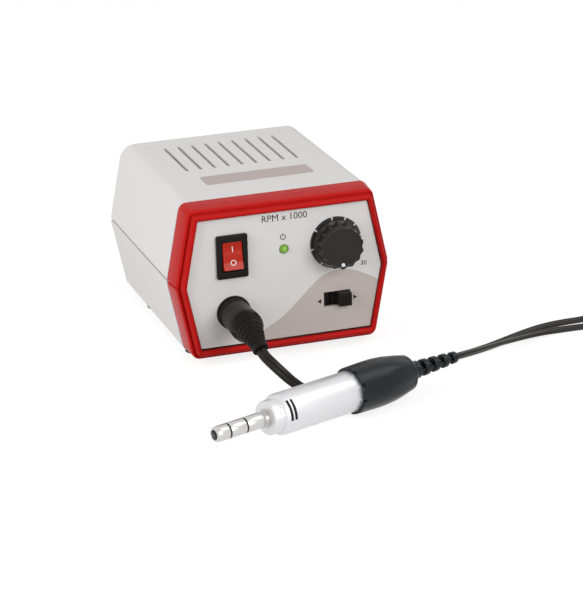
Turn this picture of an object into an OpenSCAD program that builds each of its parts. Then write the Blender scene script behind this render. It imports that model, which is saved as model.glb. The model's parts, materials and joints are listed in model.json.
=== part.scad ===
// Dental micromotor: a mains control box with its motor handpiece, plug and flat cord.
// Millimetres, +Z up, +Y to the back of the box. The table is at z = 0.

/* [Box] */
// Width at the parting line
box_w = 117; // [112:0.5:124]
// Width of the flat top
top_w = 100.4; // [96:0.2:104]
// Width of the flat base
base_w = 101.2; // [96:0.2:104]
// Height of the housing, without feet
box_h = 80.4; // [78:0.2:86]
// Height of the parting line above the base
part_h = 39.4; // [36:0.2:42]
// Depth from the front of the bezel to the rear edge
box_d = 128.2; // [126:0.2:140]
// Wall of the moulded shells
wall = 2.5; // [2:0.1:3]
// Rounding of the long edges
edge_r = 7; // [6:0.5:10]
// Rounding of the base's long edges
base_r = 4; // [3:0.5:6]
// Rounding of the ridge at the parting line
ridge_r = 12; // [8:0.5:16]
// Shadow gap where mouldings meet
seam = 0.5; // [0.3:0.1:0.8]
// Place of the box from the middle of the whole set, to the right
box_x = 4; // [0:0.5:8]
// Place of the bezel's front from the middle of the whole set, backwards
box_y = -9; // [-12:0.5:-6]

/* [Vents] */
// Number of slots in the top
vent_n = 9; // [5:1:9]
// Distance from slot to slot
vent_pitch = 7.6; // [7:0.1:8]
// Length of a slot
vent_l = 46; // [36:1:50]
// Width of a slot
vent_w = 1.8; // [1.4:0.1:2.6]
// Middle of the slots ahead of the rear panel
vent_back = 30.2; // [28:0.2:34]

/* [Feet and case screws] */
// Height of a foot
foot_h = 3; // [2:0.5:5]
// Diameter of a foot
foot_d = 12; // [10:0.5:14]
// Side distance of the feet from the middle
foot_x = 42.5; // [38:0.5:43]
// First pair of feet behind the front
foot_y1 = 24; // [23.5:0.5:26]
// Second pair of feet ahead of the rear panel
foot_back = 24.2; // [22:0.2:32]
// Side distance of the case screws from the middle
boss_x = 41; // [40.5:0.5:42]
// First pair of case screws behind the front
boss_y1 = 37; // [36:0.5:40]
// Second pair of case screws ahead of the rear panel
boss_back = 11.2; // [10:0.2:15]
// Outside of a screw boss
boss_d = 7.5; // [7:0.25:8]
// Shank of the case and board screws
screw_d = 3; // [2.5:0.5:3]

/* [Front] */
// Depth of the bezel
bezel_d = 16.75; // [15:0.25:18]
// Draw-in of the bezel's flank at its front
bezel_draft = 1.3; // [0.8:0.1:1.6]
// Depth of the shoulder behind the bezel's rim
shoulder = 3; // [2:0.25:4]
// Width of the frame seen from the front
lip = 5.8; // [5.4:0.1:6.6]
// Depth of the panel below the bezel's rim
recess = 1.3; // [0.8:0.1:2]
// Thickness of the front panel
panel_t = 2; // [1.5:0.1:2.5]
// Distance of the upper row of controls below the top
row_down = 26.4; // [25:0.2:28]
// Height of the lower row of controls above the base
row_lo = 23.5; // [22:0.5:25]
// Side distance of the controls from the middle
col_x = 28; // [26.5:0.5:29]

/* [Power switch] */
// Width of the switch's frame
switch_w = 16.5; // [15:0.5:18]
// Height of the switch's frame
switch_h = 23; // [21.5:0.5:25]
// Depth of the switch behind the panel
switch_d = 17; // [15:0.5:18]
// Width of the rocker
rocker_w = 10.2; // [9:0.2:11]
// Half height of the rocker
rocker_a = 6.9; // [6:0.1:7.2]
// Swing of the rocker
rocker_swing = 20; // [16:1:22]

/* [Speed control] */
// Diameter of the knob
knob_d = 23.4; // [20:0.2:25]
// Height of the knob
knob_h = 10.6; // [9:0.2:13]
// Number of flutes
knob_n = 14; // [8:1:18]
// Diameter of the spindle
shaft_d = 6; // [5:0.5:6]
// Diameter of the potentiometer
pot_d = 17; // [16:0.5:20]

/* [Direction switch] */
// Length of the window
slide_w = 14.4; // [13:0.2:16]
// Height of the window
slide_h = 8; // [7:0.2:9]
// Length of the slider
slider_w = 7; // [6:0.2:7.4]
// Height of the slider above the panel
slider_out = 4; // [3:0.5:5]

/* [Plug] */
// Diameter of the plug
plug_d = 17.2; // [16:0.2:18]
// Length of the plug's grip
plug_l = 27; // [25:0.5:29]
// Length of the ribbed boot
boot_l = 18; // [16:0.5:20]
// Droop of the boot
boot_droop = 15; // [8:1:16]
// Turn of the boot's mouth about the boot's axis
boot_roll = 27; // [0:1:40]

/* [Handpiece] */
// Turn of the handpiece on the table
hand_turn = 20.3; // [18:0.1:22]
// Diameter of the coupling stem
stem_d = 7.9; // [7.5:0.1:8.2]
// Length of the coupling stem
stem_l = 30.5; // [28:0.5:33]
// Diameter of the front collar
collar_d = 17; // [16:0.2:18]
// Length of the front collar
collar_l = 5; // [4:0.5:6]
// Outside of the motor's sleeve
sleeve_d = 20.5; // [20.2:0.1:21]
// Length of the motor's sleeve that shows
sleeve_l = 47.5; // [46:0.5:52]
// Wall of the motor's sleeve
sleeve_t = 1.2; // [1:0.1:1.3]
// Diameter of the rear cap at its rim
cap_d = 23.5; // [23:0.1:25]
// Diameter of the rear cap at its back
cap_back_d = 18.7; // [17:0.1:19.5]
// Swell of the rear cap's barrel
cap_bulge = 0.4; // [0:0.1:0.8]
// Power of the rear cap's taper: a high one keeps the width for longer
cap_hold = 4; // [2:0.5:6]
// Length of the rear cap
cap_l = 37; // [36:0.5:40]
// Length of the strain relief
relief_l = 31.5; // [30:0.5:34]
// Shaft of the rotor
rotor_d = 3; // [2.5:0.1:3.2]
// Diameter of the armature
armature_d = 11; // [10:0.2:11.4]

/* [Cord] */
// Width of the flat twin cord
cord_w = 5.6; // [5:0.1:5.8]
// Thickness of the flat twin cord
cord_t = 2.5; // [2.2:0.1:2.6]
// Outer radius of the coil's centre line
coil_r = 32; // [30:0.5:34]
// Turns in each of the coil's two layers
coil_n = 3; // [2:1:3]
// Step from turn to turn
coil_step = 3.3; // [3.2:0.05:3.6]

/* [Fits] */
// Gap of a loose fit in the box
fit = 0.2; // [0.15:0.05:0.3]
// Radial clearance of a turning shaft
run = 0.05; // [0.03:0.01:0.09]
// Gap beside a piece that moves
free = 0.35; // [0.3:0.05:0.5]

/* [Hidden] */

$fn = 48;
eps = 0.01;

// Colours
grey = [0.86, 0.85, 0.84];
red = [0.72, 0.08, 0.07];
panel_grey = [0.80, 0.79, 0.77];
black = [0.13, 0.12, 0.11];
cap_black = [0.17, 0.18, 0.20];
silver = [0.82, 0.83, 0.84];
steel = [0.62, 0.63, 0.64];
copper = [0.70, 0.38, 0.20];
brass = [0.78, 0.62, 0.28];
carbon = [0.16, 0.16, 0.17];

// Outline of the housing: a hexagon with round corners, drawn in by any distance
arc_n = 10;
function turn2(v, a) = [v.x * cos(a) - v.y * sin(a), v.x * sin(a) + v.y * cos(a)];
function unit(v) = v / norm(v);
hex = [
  [base_w / 2, 0], [box_w / 2, part_h], [top_w / 2, box_h],
  [-top_w / 2, box_h], [-box_w / 2, part_h], [-base_w / 2, 0]
];
hex_r = [base_r, ridge_r, edge_r, edge_r, ridge_r, base_r];
function hex_dir(i) = unit(hex[(i + 1) % 6] - hex[i % 6]);
function inward(u) = [-u.y, u.x];
// Round corner i of the outline drawn in by d, with a vee of depth dent at its middle
function corner(i, d, dent) =
  let (
    u0 = hex_dir(i + 5),
    u1 = hex_dir(i),
    n0 = inward(u0),
    n1 = inward(u1),
    tip = hex[i] + d * (n0 + n1) / (1 + n0 * n1),
    turn = acos(u0 * u1),
    r = max(hex_r[i] - d, 0.5),
    hub = tip - u0 * r * tan(turn / 2) + n0 * r
  )
  [for (k = [0:arc_n]) hub + (r - dent * max(0, 1 - 3 * abs(k / arc_n - 0.5))) * turn2(-n0, turn * k / arc_n)];
function outline(d, dent = 0) =
  [for (i = [0:5]) each corner(i, d, i % 3 == 1 ? dent : 0)];

// Places along the box, from the bezel's front to the back
shell_y = bezel_d + seam;
tongue_t = 2;
tongue_l = 4.5;
panel_back = recess + panel_t;
rear_t = 2;
rear_in = 7;
rear_y = box_d - rear_in;
row_hi = box_h - row_down;
vent_y = rear_y - vent_back;
foot_y2 = rear_y - foot_back;
boss_y2 = rear_y - boss_back;
rib_t = 2;
groove = 1.4;
floor_z = wall;

// Placing the box and the handpiece
hand_x = -71.4;
hand_y = -127.6;
hand_z = max([for (i = [0:12]) cap_r(i / 12)]);
module in_box() { translate([box_x, box_y, foot_h]) children(); }
module in_hand() { translate([hand_x, hand_y, hand_z]) rotate([0, 0, hand_turn]) children(); }

// An outline in x and z, extruded from y0 to y1
module along_y(y0, y1) {
  translate([0, y1, 0]) rotate([90, 0, 0]) linear_extrude(y1 - y0) children();
}
module slab(y0, y1, d) { along_y(y0, y1) polygon(outline(d)); }
module ring_slab(y0, y1, d0, d1) {
  difference() {
    slab(y0, y1, d0);
    slab(y0 - 1, y1 + 1, d1);
  }
}
module rod_y(x, z, y0, y1, d) { translate([x, y0, z]) rotate([-90, 0, 0]) cylinder(d = d, h = y1 - y0); }
module block(x, z, w, h, y0, y1) { translate([x - w / 2, y0, z - h / 2]) cube([w, y1 - y0, h]); }
module above(z) { translate([-box_w, -box_d, z]) cube([box_w * 2, box_d * 3, box_h * 2]); }
module below(z) { translate([-box_w, -box_d, z - box_h * 2]) cube([box_w * 2, box_d * 3, box_h * 2]); }
module at_bosses() {
  for (x = [-boss_x, boss_x], y = [boss_y1, boss_y2]) translate([x, y, 0]) children();
}

// Both shells, with the ribs that hold the rear panel
module shells() {
  ring_slab(shell_y, box_d, 0, wall);
  difference() {
    ring_slab(rear_y - rib_t, rear_y + rear_t + rib_t, wall / 2, wall + groove + 1);
    slab(rear_y - fit / 2, rear_y + rear_t + fit / 2, wall + 0.2);
  }
}

head_d = screw_d * 1.9;
head_h = 2;
boss_top = part_h;
pilot_d = screw_d - 0.4;
shank_in = 12;
grip_l = 18;
head_z = boss_top - grip_l;
boss_wall = 1.5;

module vent_slot() {
  rim = vent_l / 2 - vent_w / 2;
  translate([-vent_w / 2, -rim, 0]) cube([vent_w, rim * 2, wall * 3]);
  for (y = [-rim, rim]) translate([0, y, 0]) cylinder(d = vent_w, h = wall * 3);
}

module upper_housing() {
  color(grey) in_box() difference() {
    union() {
      intersection() {
        shells();
        above(part_h + seam / 2);
      }
      at_bosses() translate([0, 0, boss_top]) cylinder(d = boss_d, h = box_h - wall / 2 - boss_top);
    }
    at_bosses() translate([0, 0, boss_top - 1]) cylinder(d = pilot_d, h = shank_in + 2);
    for (i = [0:vent_n - 1])
      translate([(i - (vent_n - 1) / 2) * vent_pitch, vent_y, box_h - wall * 2]) vent_slot();
  }
}

core_w = 57;
core_t = 28;
core_back = 35.2;
core_y = rear_y - core_back;
core_under = 4.5;
pad_h = 4;
pad_in = 22;
strap_t = 1;
strap_w = 20;
tab_x = core_w / 2 + strap_t + 5.5;
tab_w = 11;
core_z = floor_z + pad_h;
rear_down = 15.4;
rear_z = box_h - rear_down;
fuse_d = 12;
core_h = rear_z - fuse_d / 2 - core_under - core_z;
board_w = 70;
board_l = 34;
board_t = 1.6;
board_ahead = 36;
board_y = core_y - board_ahead;
post_h = 7;
board_z = floor_z + post_h;
post_d = 6;
post_in = 4;
post_gap = 0.5;
post_x = min(board_w / 2 - post_in, boss_x - (boss_d + boss_wall + head_d) / 2 - post_gap);
board_top = board_z + board_t;
module at_posts() {
  for (x = [-1, 1], y = [-1, 1])
    translate([x * post_x, board_y + y * (board_l / 2 - post_in), 0]) children();
}
module at_tabs() { for (x = [-tab_x, tab_x]) translate([x, core_y, 0]) children(); }
module at_feet() {
  for (x = [-foot_x, foot_x], y = [foot_y1, foot_y2]) translate([x, y, 0]) children();
}
peg_d = 4;

module lower_housing() {
  color(grey) in_box() difference() {
    union() {
      intersection() {
        shells();
        below(part_h - seam / 2);
      }
      // Lip that closes the shadow gap from inside
      intersection() {
        ring_slab(shell_y + tongue_l + 1, rear_y - rib_t - 1, wall / 2, wall + 1.2);
        difference() {
          above(part_h - 4);
          above(part_h - seam / 2);
        }
      }
      intersection() {
        ring_slab(shell_y + tongue_l + 1, rear_y - rib_t - 1, wall + fit, wall + 1.2);
        difference() {
          above(part_h - 2);
          above(part_h + 2.5);
        }
      }
      at_bosses() translate([0, 0, wall / 2]) cylinder(d = boss_d + boss_wall, h = boss_top - wall / 2);
      at_posts() translate([0, 0, wall / 2]) cylinder(d = post_d, h = board_z - wall / 2);
      for (x = [-1, 1])
        translate([x > 0 ? pad_in : -tab_x - tab_w / 2, core_y - strap_w / 2, wall / 2])
          cube([tab_x + tab_w / 2 - pad_in, strap_w, core_z - wall / 2]);
    }
    at_bosses() {
      translate([0, 0, -1]) cylinder(d = head_d + 1, h = head_z + 1);
      cylinder(d = screw_d + 2 * fit, h = boss_top + 1);
    }
    at_posts() translate([0, 0, floor_z]) cylinder(d = pilot_d, h = board_z);
    at_tabs() translate([0, 0, wall / 2]) cylinder(d = pilot_d, h = core_z);
    at_feet() translate([0, 0, -1]) cylinder(d = peg_d + fit, h = wall + 2);
  }
}

// Section of the bezel as [draw-in, depth], from its seam round the rim to the tongue
tongue_out = wall + fit;
tongue_in = tongue_out + tongue_t;
ledge = 2.5;
ledge_t = 2;
groove_d = bezel_draft + 1.2;
rim_r = 0.9;
bezel_section = [
  [0, bezel_d],
  [bezel_draft * 0.85, shoulder + 1.4],
  [bezel_draft + 0.25, shoulder + 0.4],
  [bezel_draft + 0.8, shoulder],
  [groove_d, shoulder + 0.5],
  [groove_d + 0.5, shoulder + 0.5],
  for (a = [0:30:90]) [groove_d + 0.8 + rim_r * (1 - cos(a)), rim_r * (1 - sin(a))],
  for (a = [90:-30:0]) [lip - rim_r * (1 - cos(a)), rim_r * (1 - sin(a))],
  [lip, panel_back + fit / 2],
  [lip + ledge, panel_back + fit / 2],
  [lip + ledge, panel_back + ledge_t],
  [tongue_in, panel_back + ledge_t + 1],
  [tongue_in, bezel_d + tongue_l],
  [tongue_out, bezel_d + tongue_l],
  [tongue_out, bezel_d]
];
flank_dent = 1;
flank_rows = 3;
module front_bezel() {
  rows = len(bezel_section);
  rings = [for (i = [0:rows - 1]) outline(bezel_section[i].x, i < flank_rows ? flank_dent : 0)];
  n = len(rings[0]);
  points = [for (i = [0:rows - 1], p = rings[i]) [p.x, bezel_section[i].y, p.y]];
  faces = [
    for (i = [0:rows - 1], j = [0:n - 1])
      let (a = i * n + j, b = i * n + (j + 1) % n, c = (i + 1) % rows * n)
      each [[a, c + j, b], [b, c + j, c + (j + 1) % n]]
  ];
  color(red) in_box() polyhedron(points, faces);
}

led_d = 5;
bush_d = shaft_d + 3;
socket_d = plug_d - 3;
switch_in_w = switch_w - 3;
switch_in_h = switch_h - 3;
module front_panel() {
  color(panel_grey) in_box() difference() {
    slab(recess, panel_back, lip + fit);
    block(-col_x, row_hi, switch_in_w + 2 * fit, switch_in_h + 2 * fit, recess - 1, panel_back + 1);
    rod_y(0, row_hi, recess - 1, panel_back + 1, led_d + fit);
    rod_y(col_x, row_hi, recess - 1, panel_back + 1, bush_d + 2 * fit);
    block(col_x, row_lo, slide_w, slide_h, recess - 1, panel_back + 1);
    rod_y(-col_x, row_lo, recess - 1, panel_back + 1, socket_d + 2 * fit);
  }
}

// Rear of the box
fuse_x = 24;
pedal_x = 4;
mode_x = -13;
gland_x = -32;
pedal_d = 9;
gland_d = 10;
mode_w = 8.4;
mode_h = 4.6;
rear_back = rear_y + rear_t;
module rear_panel() {
  color(grey) in_box() difference() {
    slab(rear_y, rear_back, wall + 0.2 + fit);
    rod_y(fuse_x, rear_z, rear_y - 1, rear_back + 1, fuse_d + 2 * fit);
    rod_y(pedal_x, rear_z, rear_y - 1, rear_back + 1, pedal_d + 2 * fit);
    rod_y(gland_x, rear_z, rear_y - 1, rear_back + 1, gland_d + 2 * fit);
    block(mode_x, rear_z, mode_w, mode_h, rear_y - 1, rear_back + 1);
  }
}

module rubber_feet() {
  color(black) in_box() at_feet() {
    translate([0, 0, -foot_h]) cylinder(d1 = foot_d - 1, d2 = foot_d, h = foot_h);
    cylinder(d = peg_d, h = wall);
  }
}

module cap_screw(shank) {
  difference() {
    union() {
      cylinder(d = head_d, h = head_h);
      cylinder(d = screw_d - 0.5, h = head_h + shank);
    }
    for (a = [0, 90]) rotate([0, 0, a]) translate([-head_d * 0.3, -0.4, -1]) cube([head_d * 0.6, 0.8, 2]);
  }
}
module case_screws() {
  color(steel) in_box() at_bosses() translate([0, 0, head_z - head_h])
    cap_screw(boss_top - head_z + shank_in - 2);
}

// Power switch: the rocker turns about a pin across its body
pin_d = 3;
pin_out = 0.8;
rocker_front = 4.2;
rocker_y = recess + 1.2;
frame_t = 2;
rocker_reach = norm([rocker_a, rocker_front]);
rocker_top = rocker_reach * sin(atan2(rocker_a, rocker_front) + rocker_swing / 2);
well_h = 2 * (rocker_top + free);
well_w = rocker_w + 2 * free;
well_d = 8;
module switch_body() {
  color(black) in_box() difference() {
    union() {
      block(-col_x, row_hi, switch_w, switch_h, recess - frame_t, recess);
      block(-col_x, row_hi, switch_in_w, switch_in_h, recess - eps, recess + switch_d);
    }
    block(-col_x, row_hi, well_w, well_h, recess - frame_t - 1, rocker_y + well_d);
    translate([-col_x, rocker_y, row_hi]) rotate([0, 90, 0])
      cylinder(d = pin_d + 2 * run, h = rocker_w + 2 * (pin_out + free), center = true);
  }
}
module switch_rocker() {
  half = [
    [rocker_front - 0.7, 0], [rocker_front, rocker_a], [-0.5, rocker_a], [-2.5, rocker_a * 0.75],
    [-4, 2.2], [-6, 1.4], [-6, 0]
  ];
  profile = concat(half, [for (i = [len(half) - 2:-1:1]) [half[i].x, -half[i].y]]);
  color([0.80, 0.10, 0.05]) in_box() translate([-col_x, rocker_y, row_hi])
    rotate([-rocker_swing / 2, 0, 0]) {
      rotate([0, -90, 0]) rotate([0, 0, 90]) linear_extrude(rocker_w, center = true)
        polygon([for (p = profile) [-p.x, -p.y]]);
      rotate([0, 90, 0]) cylinder(d = pin_d, h = rocker_w + 2 * pin_out, center = true);
    }
}
module switch_terminals() {
  color(brass) in_box()
    for (x = [-1, 1], z = [-1, 1])
      block(-col_x + x * switch_in_w / 4, row_hi + z * switch_in_h / 4, 0.8, 4.8,
        recess + switch_d, recess + switch_d + 8);
}

// Pilot lamp behind its hole
led_out = 1.6;
module pilot_led() {
  color([0.15, 0.75, 0.15]) in_box() {
    rod_y(0, row_hi, recess - led_out + led_d / 2, panel_back + 4, led_d);
    intersection() {
      translate([0, recess - led_out + led_d / 2, row_hi]) sphere(d = led_d);
      rod_y(0, row_hi, recess - led_out - 1, recess + 2, led_d);
    }
    rod_y(0, row_hi, panel_back + 4, panel_back + 5, led_d + 0.8);
  }
}
module led_clip() {
  color(black) in_box() difference() {
    rod_y(0, row_hi, panel_back, panel_back + 6.5, led_d + 4);
    rod_y(0, row_hi, panel_back - 1, panel_back + 4, led_d + fit);
    rod_y(0, row_hi, panel_back + 4 - eps, panel_back + 8, led_d + 0.8 + fit);
  }
}

// Speed control: potentiometer, spindle, nut and knob
nut_t = 2;
nut_w = 12;
knob_gap = 0.8;
knob_base = recess - knob_gap;
knob_face = knob_base - knob_h;
pot_t = 9;
shaft_end = knob_face + 2.4;
module hex_nut(across, bore, y0, y1, x, z) {
  difference() {
    translate([x, y0, z]) rotate([-90, 0, 0]) cylinder(d = across / cos(30), h = y1 - y0, $fn = 6);
    rod_y(x, z, y0 - 1, y1 + 1, bore);
  }
}
module speed_knob() {
  color(black) in_box() difference() {
    union() {
      translate([col_x, knob_base, row_hi]) rotate([90, 0, 0]) rotate_extrude() polygon([
        [0, 0], [knob_d / 2 + 1, 0], [knob_d / 2 + 1, 1.2], [knob_d / 2, 2],
        [knob_d / 2 - 0.5, knob_h - 1], [knob_d / 2 - 1.5, knob_h], [knob_d / 2 - 4.2, knob_h],
        [knob_d / 2 - 4.8, knob_h - 0.7], [0, knob_h - 0.7]
      ]);
    }
    for (i = [0:knob_n - 1]) {
      a = 360 * (i + 0.5) / knob_n;
      rod_y(col_x + (knob_d / 2 + 1) * sin(a), row_hi + (knob_d / 2 + 1) * cos(a),
        knob_face - 1, knob_base - 2, knob_d * 0.16);
    }
    rod_y(col_x, row_hi, knob_base - nut_t - 0.8, knob_base + 1, nut_w / cos(30) + 1);
    rod_y(col_x, row_hi, shaft_end - fit, knob_base + 1, shaft_d + fit);
  }
}
module pot_body() {
  color(steel) in_box() difference() {
    union() {
      rod_y(col_x, row_hi, panel_back, panel_back + pot_t, pot_d);
      rod_y(col_x, row_hi, recess - nut_t - 0.6, panel_back + 1, bush_d);
      block(col_x, row_hi - pot_d / 2 - 2, 12, 6, panel_back + pot_t * 0.4, panel_back + pot_t * 0.4 + 1.2);
    }
    rod_y(col_x, row_hi, recess - nut_t - 2, panel_back + pot_t - 1.5, shaft_d + 2 * run);
  }
}
module pot_shaft() {
  color(silver) in_box() rod_y(col_x, row_hi, shaft_end, panel_back + pot_t - 1.5 - free, shaft_d);
}
module pot_nut() {
  color(brass) in_box() hex_nut(nut_w, bush_d + fit, recess - nut_t, recess, col_x, row_hi);
}

// Direction switch: a slider in a shell fixed behind the window
slide_shell_w = slide_w + 10;
slide_shell_h = slide_h + 5;
slide_plate_w = slider_w + 5;
slide_plate_h = slide_h + 2;
slide_plate_t = 1.2;
slide_travel = slide_w - slider_w - 2 * free;
slide_cavity = slide_plate_t + 2 * free;
module direction_switch() {
  color(steel) in_box() difference() {
    block(col_x, row_lo, slide_shell_w, slide_shell_h, panel_back, panel_back + slide_cavity + 7);
    block(col_x, row_lo, slide_plate_w + slide_travel + 2 * free, slide_plate_h + 2 * free,
      panel_back - 1, panel_back + slide_cavity);
  }
}
module direction_slider() {
  x = col_x + slide_travel / 2;
  plate_y = panel_back + free;
  color(black) in_box() {
    block(x, row_lo, slider_w, slide_h - 2 * free, recess - slider_out, plate_y + eps);
    block(x, row_lo, slide_plate_w, slide_plate_h, plate_y, plate_y + slide_plate_t);
  }
}

// Round output socket with its plug
flange_t = 1.2;
flange_d = plug_d + 0.8;
socket_l = 15;
pin_n = 5;
pin_r = 3.4;
contact_d = 1.5;
contact_in = 8;
plug_y = recess - flange_t;
shell_d = socket_d - 2.4;
module at_contacts() {
  for (i = [0:pin_n - 1]) {
    a = 90 + 180 * i / (pin_n - 1);
    translate([-col_x + pin_r * sin(a), 0, row_lo + pin_r * cos(a)]) children();
  }
}
module output_socket() {
  color(black) in_box() difference() {
    union() {
      rod_y(-col_x, row_lo, plug_y, recess, flange_d);
      rod_y(-col_x, row_lo, recess - eps, recess + socket_l, socket_d);
    }
    difference() {
      rod_y(-col_x, row_lo, plug_y - 1, plug_y + contact_in, shell_d + fit);
      rod_y(-col_x, row_lo, plug_y - 2, plug_y + contact_in + 1, shell_d - 2 - fit);
    }
    at_contacts() rod_y(0, 0, plug_y - 1, plug_y + contact_in, contact_d + fit);
  }
}
module socket_nut() {
  color(steel) in_box()
    hex_nut(socket_d + 3.4, socket_d + fit, panel_back, panel_back + 2.5, -col_x, row_lo);
}
hollow_n = 5;
module plug_body() {
  r = plug_d / 2;
  color(black) in_box() {
    translate([-col_x, plug_y, row_lo]) rotate([90, 0, 0]) difference() {
      rotate_extrude() polygon([
        [0, 0], [r - 0.2, 0], [r - 0.2, plug_l * 0.11], [r - 0.6, plug_l * 0.13], [r - 0.5, plug_l * 0.4],
        [r - 0.1, plug_l * 0.65], [r, plug_l * 0.76], [r - 0.2, plug_l * 0.84], [r - 0.8, plug_l * 0.92],
        [r - 2, plug_l], [0, plug_l]
      ]);
      // Finger hollows round the shoulder of the grip
      for (i = [0:hollow_n - 1]) rotate([0, 0, 360 * (i + 0.5) / hollow_n])
        translate([r + 2.6, 0, plug_l * 0.94]) sphere(d = 9);
    }
    difference() {
      rod_y(-col_x, row_lo, plug_y - eps, plug_y + contact_in - 0.5, shell_d);
      rod_y(-col_x, row_lo, plug_y, plug_y + contact_in, shell_d - 2);
    }
  }
}
module plug_pins() {
  color(brass) in_box() at_contacts() rod_y(0, 0, plug_y, plug_y + contact_in - 0.5, contact_d);
}

// Boot: ribs that step down to an oblong mouth for the flat cord
boot_y = plug_y - plug_l;
rib_n = 5;
boot_r0 = plug_d / 2 - 2;
mouth_t = 1.5;
mouth_w = cord_w + 2 * mouth_t;
mouth_h = cord_t + 2 * mouth_t;
mouth_l = 4;
module oblong(w, h, l) {
  translate([-(w - h) / 2, -h / 2, 0]) cube([w - h, h, l]);
  for (x = [-1, 1]) translate([x * (w - h) / 2, 0, 0]) cylinder(d = h, h = l);
}
module boot_frame() { translate([-col_x, boot_y, row_lo]) rotate([90 + boot_droop, 0, 0]) children(); }
module plug_boot() {
  step = (boot_l - mouth_l) / rib_n;
  fall = (boot_r0 - mouth_w / 2 + 0.4) / rib_n;
  color(black) in_box() difference() {
    boot_frame() {
      translate([0, 0, -2]) cylinder(r = boot_r0 - 0.4, h = 3);
      for (i = [0:rib_n - 1]) translate([0, 0, i * step]) {
        cylinder(r = boot_r0 - i * fall, h = step * 0.62);
        cylinder(r = boot_r0 - i * fall - 0.8, h = step + eps);
      }
      translate([0, 0, boot_l - mouth_l]) rotate([0, 0, boot_roll]) oblong(mouth_w, mouth_h, mouth_l);
    }
    rod_y(-col_x, row_lo, boot_y, boot_y + plug_l, plug_d + 2);
  }
}

// Flat cord: a closed tube swept along its points, each [x, y, z, roll]
function flat(w, t) = [
  [w / 2, -t / 4], [w / 2, t / 4], [w / 2 - t / 3, t / 2], [t / 3 - w / 2, t / 2],
  [-w / 2, t / 4], [-w / 2, -t / 4], [t / 3 - w / 2, -t / 2], [w / 2 - t / 3, -t / 2]
];
function flat6(w, t) = [
  [w / 2, 0], [w / 2 - t / 4, t / 2], [t / 4 - w / 2, t / 2],
  [-w / 2, 0], [t / 4 - w / 2, -t / 2], [w / 2 - t / 4, -t / 2]
];
function place(p) = [p.x, p.y, p.z];
function heading(path, i) =
  let (n = len(path) - 1)
  unit(place(path[min(i + 1, n)]) - place(path[max(i - 1, 0)]));
function cord_ring(path, i, section) =
  let (
    t = heading(path, i),
    side = unit(cross([0, 0, 1], t)),
    up = cross(t, side),
    wide = side * cos(path[i][3]) + up * sin(path[i][3]),
    thin = up * cos(path[i][3]) - side * sin(path[i][3])
  )
  [for (q = section) place(path[i]) + wide * q.x + thin * q.y];
module sweep(path, section) {
  n = len(section);
  last = len(path) - 1;
  points = [for (i = [0:last]) each cord_ring(path, i, section)];
  walls = [
    for (i = [0:last - 1], j = [0:n - 1])
      let (a = i * n + j, b = i * n + (j + 1) % n)
      each [[a, b, a + n], [b, b + n, a + n]]
  ];
  caps = [for (j = [1:n - 2]) each [[0, j + 1, j], [last * n, last * n + j, last * n + j + 1]]];
  polyhedron(points, concat(walls, caps));
}
function path_length(path, i = 0) =
  i >= len(path) - 1 ? 0 : norm(place(path[i + 1]) - place(path[i])) + path_length(path, i + 1);

// Coil: in along the lower layer, up in the half turn where it reverses, out along the upper
coil_at = [223, -54];
on_edge = 90;
tie_t = 0.8;
coil_low = tie_t + 0.15 + cord_w / 2;
coil_rise = cord_w + 0.6;
coil_rings = 24;
coil_turns = 2 * coil_n + 0.5;
function dip(f) = f <= coil_n ? f : f < coil_n + 0.5 ? coil_n + sin(360 * (f - coil_n)) : coil_turns - f;
function climb(f) = let (u = min(1, max(0, 2 * (f - coil_n)))) u * u * (3 - 2 * u);
function coil_point(f) =
  let (r = coil_r - coil_step * dip(f), a = 90 - 360 * f)
  [coil_at.x + r * cos(a), coil_at.y + r * sin(a), coil_low + coil_rise * climb(f), on_edge];
coil_in = coil_point(0);
coil_out = coil_point(coil_turns);
coil_path = concat(
  [[coil_in.x - cord_w, coil_in.y, coil_in.z, on_edge]],
  [for (i = [0:coil_turns * coil_rings]) coil_point(i / coil_rings)],
  [[coil_out.x - cord_w, coil_out.y, coil_out.z, on_edge]]
);
boot_end = [
  box_x - col_x,
  box_y + boot_y - boot_l * cos(boot_droop),
  foot_h + row_lo - boot_l * sin(boot_droop)
];
function past_boot(d) = [
  boot_end.x,
  boot_end.y - d * cos(boot_droop),
  boot_end.z - d * sin(boot_droop),
  boot_roll
];
lie = cord_t / 2 + 0.1;
plug_path = [
  past_boot(0.1),
  past_boot(2.5),
  [-23.5, -59.2, 20.1, 34], [-22, -62.3, 18.4, 44], [-19.8, -64.6, 16, 54], [-17.1, -66, 13.1, 60],
  [-14.2, -66.7, 10, 60], [-11.1, -67, 7.1, 52], [-7.9, -67.5, 4.7, 36], [-4.2, -68.3, 2.8, 18],
  [0.3, -69, 1.7, 6], [6.5, -68.9, lie, 0], [14, -67.3, lie, 0], [24, -64.8, lie, 0],
  [36, -61.8, lie, 0], [48, -58.6, lie, 0], [60, -55.3, lie, 0], [71, -52, lie, 0],
  [80.4, -49, lie, 0], [89.1, -46.4, lie, 0], [98, -43.4, lie, 0], [107.5, -39.4, lie, 0],
  [117.4, -34.6, lie, 0], [127.2, -30, lie, 0], [136.8, -26.2, lie, 0], [145.6, -24, lie, 0],
  [154.4, -23.1, lie, 0], [163.8, -22.7, lie, 0], [174, -22.4, 1.9, 15], [185, -22.2, 2.5, 40],
  [195, -22.1, 3.2, 65], [205, -22, coil_in.z, 85],
  [coil_in.x - cord_w * 2, coil_in.y, coil_in.z, on_edge],
  [coil_in.x - cord_w, coil_in.y, coil_in.z, on_edge]
];
hand_l = stem_l + collar_l + sleeve_l + cap_l + relief_l;
hand_dir = [cos(hand_turn), sin(hand_turn)];
tail_at = [hand_x, hand_y] + hand_l * hand_dir;
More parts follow.
